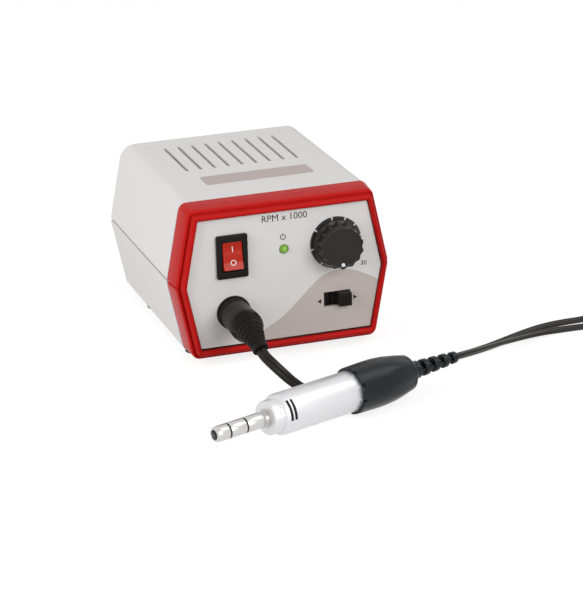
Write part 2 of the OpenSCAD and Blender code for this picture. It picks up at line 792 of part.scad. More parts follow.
tail_path = [
  [coil_out.x - cord_w, coil_out.y, coil_out.z, on_edge],
  [coil_out.x - cord_w * 2, coil_out.y, coil_out.z, on_edge],
  [205, -85, 8.6, 82], [197.5, -82, 6.6, 66], [190.5, -77, 4.7, 48], [185, -70, 3.2, 30],
  [181.5, -61.5, 2.1, 14], [179, -52.5, 1.5, 4], [175.5, -43.5, lie, 0], [169, -36.5, lie, 0],
  [160.5, -33.4, lie, 0], [151.9, -32.9, lie, 0], [143.2, -33.2, 1.5, 0], [135.8, -34.5, 1.8, -6],
  [128.3, -37.5, 2.5, -12], [121.1, -41.5, 3.5, -18], [113.5, -46.3, 4.8, -20], [106.4, -51.4, 6.3, -21],
  [99.1, -57, 7.9, -21], [92, -62.5, 9.4, -22], [85.1, -67.4, 10.7, -22], [79.3, -71, 11.6, -23],
  [tail_at.x + 4 * hand_dir.x, tail_at.y + 4 * hand_dir.y, hand_z, -24],
  [tail_at.x, tail_at.y, hand_z, -24]
];
module plug_cord() { color(black) sweep(plug_path, flat(cord_w, cord_t)); }
module tail_cord() {
  echo(cord_length = path_length(plug_path) + path_length(coil_path) + path_length(tail_path));
  color(black) sweep(tail_path, flat(cord_w, cord_t));
}
module cord_coil() {
  section = flat6(cord_w, cord_t);
  rings = [for (i = [0:len(coil_path) - 1]) cord_ring(coil_path, i, section)];
  half = coil_rings / 2;
  echo(coil_gap = min([
    for (i = [0:len(rings) - half - 1], j = [i + half:len(rings) - 1])
      if (norm(place(coil_path[i]) - place(coil_path[j])) < 2 * cord_w)
        for (p = rings[i], q = rings[j]) norm(p - q)
  ]));
  color(black) sweep(coil_path, section);
}
tie_w = 5;
module cord_tie() {
  r0 = coil_r - coil_step * (coil_n - 0.25) - cord_t / 2 - 0.4;
  r1 = coil_r - coil_step * 0.75 + cord_t / 2 + 0.4;
  h = coil_low + coil_rise + cord_w / 2 + 0.15;
  color(black) translate([coil_at.x - r1, coil_at.y - tie_w / 2, 0]) difference() {
    translate([-tie_t, 0, 0]) cube([r1 - r0 + 2 * tie_t, tie_w, h + tie_t]);
    translate([0, -1, tie_t]) cube([r1 - r0, tie_w + 2, h - tie_t]);
  }
}

// Handpiece: everything is turned about its axis, from the stem's tip backwards
module turned(points) { rotate([0, 90, 0]) rotate_extrude($fn = 64) polygon(points); }
module ring_x(x0, x1, d0, d1) {
  turned([[d0 / 2, x0], [d1 / 2, x0], [d1 / 2, x1], [d0 / 2, x1]]);
}
module disc_x(x0, x1, d) { translate([x0, 0, 0]) rotate([0, 90, 0]) cylinder(d = d, h = x1 - x0); }
collar_x = stem_l;
sleeve_x = collar_x + collar_l;
cap_x = sleeve_x + sleeve_l;
relief_x = cap_x + cap_l;
sleeve_in = sleeve_d - 2 * sleeve_t;
stem_bore = 5;
groove_w = 1;
groove_1 = 7;
groove_2 = 17;
groove_deep = 0.7;
bearing_d = 11;
bearing_w = 4;
front_bearing = sleeve_x + 2;
spigot_l = 8;
spigot_d = sleeve_in - 2 * run;
flange_x = collar_x + 1.5;
root_d = stem_d + 1;
stop_d = stem_d + 2.4;

module coupling_stem() {
  r = stem_d / 2;
  b = stem_bore / 2;
  color(silver) in_hand() difference() {
    turned([
      [b, 0], [r - 0.9, 0], [r - 0.35, 0.6], [r, 2.2], [r, collar_x], [root_d / 2, collar_x],
      [root_d / 2, flange_x], [stop_d / 2, flange_x], [stop_d / 2, flange_x + 2], [b, flange_x + 2]
    ]);
    for (x = [groove_1, groove_2]) ring_x(x, x + groove_w, stem_d - 2 * groove_deep, stem_d + 2);
  }
}
module stem_rings() {
  color(black) in_hand() for (x = [groove_1, groove_2])
    ring_x(x + run, x + groove_w - run, stem_d - 2 * groove_deep + 2 * run, stem_d - 2 * run);
}
module front_collar() {
  r = collar_d / 2;
  color(silver) in_hand() difference() {
    union() {
      turned([[0, collar_x], [r - 0.7, collar_x], [r, collar_x + 0.7], [r, sleeve_x], [0, sleeve_x]]);
      disc_x(sleeve_x - eps, sleeve_x + spigot_l, spigot_d);
    }
    disc_x(collar_x - 1, sleeve_x + spigot_l + 1, root_d + 2 * run);
    disc_x(flange_x, sleeve_x + spigot_l + 1, stop_d + 2 * run);
    disc_x(front_bearing, sleeve_x + spigot_l + 1, bearing_d + 2 * run);
  }
}
shoulder_l = 3;
sleeve_tail = 3;
module motor_sleeve() {
  r = sleeve_d / 2;
  color(silver) in_hand() difference() {
    turned([
      [collar_d / 2 - 1, sleeve_x + run], [collar_d / 2 + 0.3, sleeve_x + run],
      for (a = [0:15:90]) [
        collar_d / 2 + 0.3 + (r - collar_d / 2 - 0.3) * sin(a),
        sleeve_x + 0.6 + shoulder_l * (1 - cos(a))
      ],
      [r, cap_x + sleeve_tail], [sleeve_in / 2, cap_x + sleeve_tail], [sleeve_in / 2, sleeve_x + 1],
      [collar_d / 2 - 1, sleeve_x + 1]
    ]);
    disc_x(sleeve_x - 1, sleeve_x + 2, spigot_d + 2 * run);
  }
}

// Rear cap: barrel shaped, its rim notched, closed round the strain relief
cap_wall = 1.4;
cap_round = 1.8;
notch_n = 9;
notch_w = 2.4;
notch_d = 1;
relief_neck = 8;
function cap_r(u) = cap_d / 2 + (cap_back_d - cap_d) / 2 * pow(u, cap_hold) + cap_bulge * sin(180 * u);
module rear_cap() {
  barrel = cap_l - cap_round;
  inner = sleeve_d / 2 + run;
  color(cap_black) in_hand() difference() {
    turned([
      [inner, cap_x],
      for (i = [0:12]) [cap_r(i / 12), cap_x + barrel * i / 12],
      for (a = [30:30:90]) [
        cap_back_d / 2 - cap_round * (1 - cos(a)),
        cap_x + barrel + cap_round * sin(a)
      ],
      [relief_neck / 2 + run, relief_x], [relief_neck / 2 + run, relief_x - 3],
      [cap_back_d / 2 - cap_wall - 1, relief_x - 3],
      [cap_back_d / 2 - cap_wall, relief_x - 4],
      [inner, cap_x + sleeve_tail + 8]
    ]);
    for (i = [0:notch_n - 1]) rotate([360 * i / notch_n, 0, 0])
      translate([cap_x - 1, -notch_w / 2, inner + 0.4]) cube([notch_d + 1, notch_w, 4]);
  }
}

// Strain relief: two collars, then discs on a thin core and flat webs that let the cord bend
disc_n = 3;
disc_pitch = 6.4;
disc_l = 3.9;
disc_edge = 0.6;
disc_fall = 0.7;
relief_d1 = 12.6;
relief_d2 = 9.2;
relief_step = 2.6;
core_d = 4.4;
web_t = 1.6;
end_d = cord_w + 0.6;
end_l = 3;
module relief_disc(x, d) {
  turned([
    [0, x], [d / 2 - disc_edge, x], [d / 2, x + disc_edge], [d / 2, x + disc_l - disc_edge],
    [d / 2 - disc_edge, x + disc_l], [0, x + disc_l]
  ]);
}
module tail_relief() {
  gap = disc_pitch - disc_l;
  comb = relief_x + relief_l - end_l - disc_n * disc_pitch;
  color(cap_black) in_hand() {
    disc_x(relief_x - 5, relief_x - 3, relief_neck + 3);
    disc_x(relief_x - 3 - eps, relief_x + eps, relief_neck);
    turned([
      [0, relief_x], [relief_d1 / 2, relief_x], [relief_d1 / 2, relief_x + relief_step - disc_edge],
      [relief_d1 / 2 - disc_edge, relief_x + relief_step], [relief_d2 / 2, relief_x + relief_step],
      [relief_d2 / 2, comb - gap - disc_edge], [relief_d2 / 2 - disc_edge, comb - gap], [0, comb - gap]
    ]);
    disc_x(comb - gap - eps, relief_x + relief_l - 1, core_d);
    for (i = [0:disc_n - 1]) {
      x = comb + i * disc_pitch;
      d = relief_d2 - disc_fall * (i + 1);
      relief_disc(x, d);
      translate([x - gap - eps, web_t / 2 - d / 2, -web_t / 2]) cube([gap + 1, d - web_t, web_t]);
    }
    disc_x(relief_x + relief_l - end_l, relief_x + relief_l, end_d);
  }
}

// Rotor, in two bearings
dog_x = 12;
dog_l = 9;
rotor_back = 18;
rotor_end = relief_x - rotor_back;
core_x = front_bearing + bearing_w + 6;
armature_l = 24;
coil_end = 3;
comm_x = core_x + armature_l + coil_end + 1.5;
comm_d = 6.4;
comm_l = 7;
holder_x = comm_x - 1;
holder_end = rotor_end - 1;
holder_d = sleeve_in - 2 * run;
rear_bearing = holder_end - bearing_w;
module rotor_shaft() { color(steel) in_hand() disc_x(dog_x + 2, rotor_end, rotor_d); }
module drive_dog() {
  d = stem_bore - 2 * free;
  color(steel) in_hand() difference() {
    disc_x(dog_x, dog_x + dog_l, d);
    disc_x(dog_x + 2, dog_x + dog_l + 1, rotor_d);
    translate([dog_x - 1, -0.7, -d]) cube([3, 1.4, 2 * d]);
  }
}
slot_n = 7;
module armature() {
  color(steel) in_hand() difference() {
    disc_x(core_x, core_x + armature_l, armature_d);
    disc_x(core_x - 1, core_x + armature_l + 1, rotor_d);
    for (i = [0:slot_n - 1]) rotate([360 * i / slot_n, 0, 0])
      translate([core_x - 1, -0.6, armature_d / 2 - 2]) cube([armature_l + 2, 1.2, 3]);
  }
}
module armature_coils() {
  color(copper) in_hand() for (x = [core_x - coil_end, core_x + armature_l])
    ring_x(x, x + coil_end, rotor_d, armature_d - 1.6);
}
module commutator() {
  color(copper) in_hand() difference() {
    ring_x(comm_x, comm_x + comm_l, rotor_d, comm_d);
    for (i = [0:slot_n - 1]) rotate([360 * i / slot_n, 0, 0])
      translate([comm_x - 1, -0.15, comm_d / 2 - 0.5]) cube([comm_l + 2, 0.3, 1]);
  }
}
module bearing(x) {
  a = rotor_d / 2 + run;
  b = bearing_d / 2;
  m = (a + b) / 2;
  turned([
    [a, x], [m - 0.6, x], [m - 0.6, x + 0.5], [m + 0.6, x + 0.5], [m + 0.6, x], [b, x],
    [b, x + bearing_w], [m + 0.6, x + bearing_w], [m + 0.6, x + bearing_w - 0.5],
    [m - 0.6, x + bearing_w - 0.5], [m - 0.6, x + bearing_w], [a, x + bearing_w]
  ]);
}
module bearings() {
  color(steel) in_hand() {
    bearing(front_bearing);
    bearing(rear_bearing);
  }
}
air_gap = 0.5;
module magnets() {
  color(carbon) in_hand() difference() {
    ring_x(core_x - 1, core_x + armature_l + 1, armature_d + 2 * air_gap, sleeve_in - 2 * run);
    translate([core_x - 2, -sleeve_d, -2]) cube([armature_l + 4, 2 * sleeve_d, 4]);
  }
}
brush_w = 2.4;
brush_h = 4;
brush_gap = 0.1;
brush_top = 7.2;
brush_x = comm_x + comm_l / 2 - brush_h / 2;
holder_web = 2;
module brush_holder() {
  color([0.35, 0.20, 0.10]) in_hand() difference() {
    disc_x(holder_x, holder_end, holder_d);
    disc_x(holder_x - 1, rear_bearing - holder_web, comm_d + 2 * free + 1);
    disc_x(holder_x, holder_end + 1, rotor_d + 2 * free);
    disc_x(rear_bearing, holder_end + 1, bearing_d + 2 * run);
    translate([brush_x - run, -brush_w / 2 - run, -holder_d])
      cube([brush_h + 2 * run, brush_w + 2 * run, 2 * holder_d]);
  }
}
module brushes() {
  color(carbon) in_hand() for (s = [0, 180]) rotate([s, 0, 0]) difference() {
    translate([brush_x, -brush_w / 2, 0]) cube([brush_h, brush_w, brush_top]);
    disc_x(brush_x - 1, brush_x + brush_h + 1, comm_d + 2 * brush_gap);
  }
}
module brush_springs() {
  leaf = 0.3;
  color(brass) in_hand() for (s = [0, 180]) rotate([s, 0, 0])
    translate([0, brush_w / 2 - 0.2, 0]) rotate([90, 0, 0]) linear_extrude(brush_w - 0.4) polygon([
      [brush_x + 0.2, brush_top], [brush_x + brush_h - 0.2, brush_top],
      [brush_x + brush_h - 0.2, brush_top + leaf], [brush_x + 1.4, brush_top + leaf + 0.9],
      [brush_x + 0.9, brush_top + leaf + 0.9], [brush_x + 0.2, brush_top + leaf]
    ]);
}

// Inside of the box
core_leg = core_w / 6;
window_h = core_h - 2 * core_leg;
coil_over = 8;
module transformer_core() {
  color(steel) in_box() translate([0, core_y, core_z]) difference() {
    translate([-core_w / 2, -core_t / 2, 0]) cube([core_w, core_t, core_h]);
    for (x = [-2 * core_leg, core_leg])
      translate([x, -core_t, core_leg]) cube([core_leg, core_t * 2, window_h]);
  }
}
module transformer_coil() {
  w = 4 * core_leg - 2 * fit;
  d = core_t + 2 * coil_over;
  color(copper) in_box() translate([0, core_y, core_z + core_leg + fit]) difference() {
    translate([-w / 2, -d / 2, 0]) cube([w, d, window_h - 2 * fit]);
    translate([-core_leg - fit, -core_t / 2 - fit, -1])
      cube([2 * core_leg + 2 * fit, core_t + 2 * fit, window_h + 2]);
  }
}
module transformer_strap() {
  w = core_w + 2 * strap_t;
  color(silver) in_box() translate([0, core_y - strap_w / 2, core_z]) difference() {
    union() {
      translate([-w / 2, 0, 0]) cube([w, strap_w, core_h + strap_t]);
      translate([-tab_x - tab_w / 2, 0, 0]) cube([2 * tab_x + tab_w, strap_w, strap_t]);
    }
    translate([-core_w / 2, -1, -1]) cube([core_w, strap_w + 2, core_h + 1]);
    for (x = [-tab_x, tab_x])
      translate([x, strap_w / 2, -1]) cylinder(d = screw_d + fit, h = strap_t + 2);
  }
}
module transformer_screws() {
  color(steel) in_box() at_tabs() translate([0, 0, core_z + strap_t + head_h]) rotate([180, 0, 0])
    cap_screw(strap_t + pad_h - 0.5);
}
module circuit_board() {
  color([0.10, 0.35, 0.15]) in_box() difference() {
    translate([-board_w / 2, board_y - board_l / 2, board_z]) cube([board_w, board_l, board_t]);
    at_posts() cylinder(d = screw_d + fit, h = board_z * 2);
    // Room for the case bosses beside a wide board
    at_bosses() cylinder(d = boss_d + boss_wall + 2 * post_gap, h = board_z * 2);
  }
}
board_screw_in = 5;
module board_screws() {
  color(steel) in_box() at_posts() translate([0, 0, board_top + head_h]) rotate([180, 0, 0])
    cap_screw(board_t + board_screw_in);
}
sink_x = -13;
sink_w = 26;
sink_d = 14;
sink_h = 26;
fin_n = 6;
fin_t = 1.4;
sink_back = 3;
module heat_sink() {
  pitch = (sink_w - fin_t) / (fin_n - 1);
  color(steel) in_box() translate([sink_x - sink_w / 2, board_y - 2, board_top]) {
    cube([sink_w, sink_back, sink_h]);
    for (i = [0:fin_n - 1]) translate([i * pitch, sink_back - eps, 0]) cube([fin_t, sink_d - sink_back, sink_h]);
  }
}
pack_w = 10;
pack_h = 9;
tab_h = 15;
lead_h = 5;
module power_transistor() {
  color(black) in_box() translate([sink_x, board_y - 2, board_top]) {
    translate([-pack_w / 2, -1.3, lead_h]) cube([pack_w, 1.3, tab_h]);
    translate([-pack_w / 2, -4.5, lead_h]) cube([pack_w, 3.3, pack_h]);
    for (x = [-2.54, 0, 2.54]) translate([x - 0.4, -3, 0]) cube([0.8, 0.6, lead_h + 0.2]);
  }
}
cap_can_d = 16;
cap_can_h = 26;
can_x = 20;
can_y = 4;
module filter_capacitor() {
  color([0.10, 0.12, 0.25]) in_box() translate([can_x, board_y + can_y, board_top]) difference() {
    cylinder(d = cap_can_d, h = cap_can_h);
    translate([0, 0, 2.5]) rotate_extrude() translate([cap_can_d / 2 + 0.3, 0]) circle(r = 0.9, $fn = 16);
  }
}
bridge_x = 18;
bridge_y = 12;
bridge_w = 18;
bridge_h = 12;
module bridge_rectifier() {
  color(black) in_box() translate([bridge_x, board_y - bridge_y, board_top]) {
    translate([-bridge_w / 2, -2, 3]) cube([bridge_w, 4, bridge_h]);
    for (i = [0:3]) translate([-7.5 + i * 5 - 0.5, -0.5, 0]) cube([1, 1, 3.2]);
  }
}

// Fuse holder, mains gland, pedal socket and mode switch in the rear panel
fuse_l = 20;
fuse_rod = 5;
holder_l = 27;
rim_t = 2;
module fuse_holder() {
  color(black) in_box() difference() {
    union() {
      rod_y(fuse_x, rear_z, rear_back - holder_l, rear_back + eps, fuse_d);
      rod_y(fuse_x, rear_z, rear_back, rear_back + rim_t, fuse_d + 4);
    }
    rod_y(fuse_x, rear_z, rear_back - holder_l + 2, rear_back + rim_t + 1, fuse_d - 4);
  }
}
module fuse_cap() {
  color(black) in_box() difference() {
    union() {
      rod_y(fuse_x, rear_z, rear_back + rim_t, rear_back + rim_t + 6, fuse_d + 1);
      rod_y(fuse_x, rear_z, rear_back + rim_t - 3, rear_back + rim_t + eps, fuse_d - 4 - 2 * fit);
    }
    block(fuse_x, rear_z, 1.2, fuse_d - 3, rear_back + rim_t + 4.8, rear_back + rim_t + 7);
  }
}
module fuse() {
  y = rear_back - holder_l + 2;
  color(silver) in_box() {
    rod_y(fuse_x, rear_z, y + 5, y + fuse_l - 5, fuse_rod - 0.4);
    for (s = [y, y + fuse_l - 5.2]) rod_y(fuse_x, rear_z, s, s + 5.2, fuse_rod);
    rod_y(fuse_x, rear_z, y + fuse_l - eps, rear_back + rim_t - 3, fuse_rod - 1.5);
  }
}
gland_bore = 7;
gland_out = 16;
module mains_gland() {
  color(black) in_box() difference() {
    union() {
      rod_y(gland_x, rear_z, rear_y - 6, rear_back + eps, gland_d);
      rod_y(gland_x, rear_z, rear_back, rear_back + 2.5, gland_d + 4);
      translate([gland_x, rear_back + 2.5 - eps, rear_z]) rotate([-90, 0, 0])
        cylinder(d1 = gland_d + 2, d2 = gland_d, h = gland_out - 2.5);
    }
    rod_y(gland_x, rear_z, rear_y - 7, rear_back + gland_out + 1, gland_bore);
  }
}
jack_d = 6.4;
jack_l = 14;
pedal_l = 20;
module pedal_socket() {
  color(black) in_box() difference() {
    union() {
      rod_y(pedal_x, rear_z, rear_back - pedal_l, rear_back + eps, pedal_d);
      rod_y(pedal_x, rear_z, rear_back, rear_back + 2.5, pedal_d + 4);
    }
    rod_y(pedal_x, rear_z, rear_back + 2.5 - jack_l, rear_back + 4, jack_d);
  }
}
mode_slider_w = 4;
mode_travel = mode_w - mode_slider_w - 2 * free;
mode_plate_w = mode_slider_w + 4;
mode_plate_h = mode_h + 2;
module mode_switch() {
  color(steel) in_box() difference() {
    block(mode_x, rear_z, mode_w + 8, mode_h + 5, rear_y - slide_cavity - 6, rear_y);
    block(mode_x, rear_z, mode_plate_w + mode_travel + 2 * free, mode_plate_h + 2 * free,
      rear_y - slide_cavity, rear_y + 1);
  }
}
module mode_slider() {
  x = mode_x + mode_travel / 2;
  color(black) in_box() {
    block(x, rear_z, mode_slider_w, mode_h - 2 * free, rear_y - free - eps, rear_back + 2);
    block(x, rear_z, mode_plate_w, mode_plate_h, rear_y - free - slide_plate_t, rear_y - free);
  }
}

upper_housing();
lower_housing();
front_bezel();
front_panel();
rear_panel();
rubber_feet();
case_screws();
switch_body();
switch_rocker();
switch_terminals();
pilot_led();
led_clip();
speed_knob();
pot_body();
pot_shaft();
pot_nut();
direction_switch();
direction_slider();
output_socket();
socket_nut();
transformer_core();
transformer_coil();
transformer_strap();
transformer_screws();
circuit_board();
board_screws();
heat_sink();
power_transistor();
filter_capacitor();
bridge_rectifier();
fuse_holder();
fuse_cap();
fuse();
mains_gland();
pedal_socket();
mode_switch();
mode_slider();
plug_body();
plug_pins();
plug_boot();
plug_cord();
cord_coil();
cord_tie();
tail_cord();
tail_relief();
rear_cap();
motor_sleeve();
front_collar();
coupling_stem();
stem_rings();
rotor_shaft();
armature();
armature_coils();
commutator();
drive_dog();
bearings();
magnets();
brush_holder();
brushes();
brush_springs();
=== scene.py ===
"""Looks of a dental micromotor: a control box, its plug and flat cord, and a motor handpiece.

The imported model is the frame. Lengths in the functions are millimetres in the part's own frame, and
become metres when a mesh is made. The box has a frame of its own: x from its middle, y from the front of
its bezel backwards and z from the bottom of its housing. The handpiece has an axis: station 0 is the
stem's tip, and stations grow towards the cord.
"""

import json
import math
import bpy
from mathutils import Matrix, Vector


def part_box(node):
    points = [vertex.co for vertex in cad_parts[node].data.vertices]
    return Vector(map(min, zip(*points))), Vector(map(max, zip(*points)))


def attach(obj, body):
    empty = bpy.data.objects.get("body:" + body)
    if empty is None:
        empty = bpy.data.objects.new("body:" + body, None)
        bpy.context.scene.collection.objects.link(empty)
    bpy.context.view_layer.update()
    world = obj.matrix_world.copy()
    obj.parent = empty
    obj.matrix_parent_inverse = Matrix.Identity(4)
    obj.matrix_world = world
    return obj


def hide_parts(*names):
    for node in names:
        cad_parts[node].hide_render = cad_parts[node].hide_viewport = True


bl_info = {
    "name": "Dental Micromotor Looks",
    "version": (1, 0, 0),
    "blender": (4, 5, 0),
    "location": "View3D > Sidebar > Micromotor",
    "description": "Dresses the frame of a dental micromotor with moulded surfaces and finishes",
    "category": "Object",
}

import bmesh
import bpy
import numpy as np
from bpy.props import FloatProperty, FloatVectorProperty, IntProperty, PointerProperty
from mathutils import Matrix, Vector

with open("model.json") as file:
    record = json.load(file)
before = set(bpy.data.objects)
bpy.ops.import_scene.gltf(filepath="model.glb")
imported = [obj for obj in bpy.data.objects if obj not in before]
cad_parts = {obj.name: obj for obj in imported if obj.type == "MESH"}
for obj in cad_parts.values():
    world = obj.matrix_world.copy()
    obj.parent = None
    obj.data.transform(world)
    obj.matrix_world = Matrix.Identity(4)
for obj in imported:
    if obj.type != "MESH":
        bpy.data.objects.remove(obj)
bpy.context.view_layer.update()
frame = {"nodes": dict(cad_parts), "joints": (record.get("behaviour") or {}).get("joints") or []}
SPIN = next(joint for joint in frame["joints"] if joint["name"] == "rotor_spin")
MM = 0.001

# Frames of the box and of the handpiece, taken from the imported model
BEZEL_LOW, BEZEL_HIGH = (np.array(corner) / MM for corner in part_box("front_bezel"))
BOX_AT = np.array([
    (BEZEL_LOW[0] + BEZEL_HIGH[0]) / 2,
    BEZEL_LOW[1],
    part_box("lower_housing")[0].z / MM,
])
ALONG = np.array(SPIN["axis"]) / np.linalg.norm(SPIN["axis"])
ACROSS = np.array([-ALONG[1], ALONG[0], 0.0])
UP = np.array([0.0, 0.0, 1.0])
ROTOR_STATION = 60.0
TIP = np.array(SPIN["pos_m"]) / MM - ROTOR_STATION * ALONG
HAND_TURN = math.atan2(ALONG[1], ALONG[0])

# Column and rows of the controls on the panel, in the frame of the box
COLUMN = 28.0
UPPER_ROW = 54.0
LOWER_ROW = 23.5

# Stations where one piece of the handpiece ends and the next begins
STEM_END = 30.5
SLEEVE_START = 35.55
CAP_START = 83.0
CAP_END = 120.0
RELIEF_END = 151.5


def colour(name, words, rgb):
    """A colour that a user may change."""
    return FloatVectorProperty(
        name=name, description=words, default=rgb, size=3, min=0, max=1, subtype="COLOR",
    )


def length(name, words, value):
    """A length that a user may change, given in millimetres."""
    return FloatProperty(name=name, description=words, default=value * MM, min=0, unit="LENGTH", precision=4)


class MicromotorFinishes(bpy.types.PropertyGroup):
    """Colours of the mouldings, metals and prints."""

    housing: colour("Housing", "Light grey of the housing", (0.695, 0.682, 0.676))
    bezel: colour("Bezel", "Gloss red of the front bezel", (0.49, 0.011, 0.009))
    film: colour("Panel film", "Light part of the panel's print", (0.745, 0.725, 0.71))
    film_dark: colour("Panel film, dark", "Dark part of the panel's print", (0.535, 0.475, 0.44))
    ink: colour("Ink", "Print on the panel", (0.017, 0.016, 0.016))
    badge: colour("Badge", "Bare plate on the top", (0.42, 0.34, 0.325))
    black: colour("Black plastic", "Switches, knob and slider", (0.011, 0.009, 0.008))
    rocker: colour("Rocker", "Gloss red of the power rocker", (0.46, 0.020, 0.008))
    lamp: colour("Lamp", "Green of the pilot lamp", (0.17, 0.40, 0.010))
    plug: colour("Plug", "Soft black of the plug and the cord", (0.008, 0.007, 0.006))
    cap: colour("Rear cap", "Blue-black of the handpiece's cap", (0.003, 0.004, 0.006))
    sleeve: colour("Sleeve", "Satin aluminium of the motor", (0.71, 0.71, 0.72))
    nickel: colour("Nickel", "Polished stem", (0.60, 0.588, 0.577))


class MicromotorSizes(bpy.types.PropertyGroup):
    """Sizes of the surfaces that stand for pieces of the frame."""

    edge_front: length("Front edge radius", "Rounding of the top edges at the bezel", 6)
    edge_back: length("Back edge radius", "Rounding of the top edges at the rear", 9)
    vents: IntProperty(name="Vents", description="Slots in the top", default=9, min=1, max=12)
    vent_pitch: length("Vent pitch", "Distance from slot to slot", 7.6)
    vent_length: length("Vent length", "Length of a slot", 46)
    vent_width: length("Vent width", "Width of a slot", 1.8)
    knob: length("Knob diameter", "Diameter of the speed knob", 23.4)
    flutes: IntProperty(name="Flutes", description="Flutes round the knob", default=14, min=4, max=30)
    cord_width: length("Cord width", "Width of the flat twin cord", 5.6)
    cord_depth: length("Cord thickness", "Thickness of the flat twin cord", 2.5)
    coil_radius: length("Coil radius", "Outer radius of the coil's middle line", 32)


class MicromotorStage(bpy.types.PropertyGroup):
    """Camera, lamps and floor."""

    eye: FloatVectorProperty(
        name="Camera", description="Place of the camera", default=(-0.41264, -1.31714, 0.52234),
        size=3, subtype="TRANSLATION", unit="LENGTH",
    )
    aim: FloatVectorProperty(
        name="Aim", description="Point in the middle of the picture", default=(0.02092, 0.035, 0.01278),
        size=3, subtype="TRANSLATION", unit="LENGTH",
    )
    roll: FloatProperty(
        name="Roll", description="Turn of the camera about its axis", default=math.radians(-1.685),
        subtype="ANGLE", unit="ROTATION",
    )
    lens: FloatProperty(
        name="Lens", description="Focal length on a 36 mm frame", default=170.5, min=20, unit="CAMERA",
    )
    key: FloatProperty(name="Key", description="Soft lamp from the left", default=16.5, unit="POWER")
    top: FloatProperty(name="Top", description="Soft lamp above, on the right", default=2.2, unit="POWER")
    fill: FloatProperty(name="Fill", description="Soft lamp from the front", default=13.0, unit="POWER")
    room: FloatProperty(name="Room", description="Light from all round", default=0.41, min=0, max=2)


# Shader maths: a socket that takes part in Python expressions
class Value:
    """One socket of a shader; + - * / and the methods below add Math nodes to its tree."""

    def __init__(self, shade, socket):
        self.shade = shade
        self.socket = socket

    def math(self, operation, *others, clamp=False):
        """The result of one Math node on this value and the others."""
        values = {i: v for i, v in enumerate((self, *others))}
        return self.shade.node("ShaderNodeMath", {"operation": operation, "use_clamp": clamp}, values)

    def __add__(self, other):
        return self.math("ADD", other)

    def __radd__(self, other):
        return self.math("ADD", other)

    def __sub__(self, other):
        return self.math("SUBTRACT", other)

    def __rsub__(self, other):
        return (self * -1).math("ADD", other)

    def __mul__(self, other):
        return self.math("MULTIPLY", other)

    def __rmul__(self, other):
        return self.math("MULTIPLY", other)

    def __truediv__(self, other):
        return self.math("DIVIDE", other)

    def abs(self):
        return self.math("ABSOLUTE")

    def above(self, limit, soft):
        """0 below limit - soft, 1 above limit + soft."""
        return ((self - limit) / (2 * soft)).math("ADD", 0.5, clamp=True)

    def below(self, limit, soft):
        """1 below limit - soft, 0 above limit + soft."""
        return 1 - self.above(limit, soft)


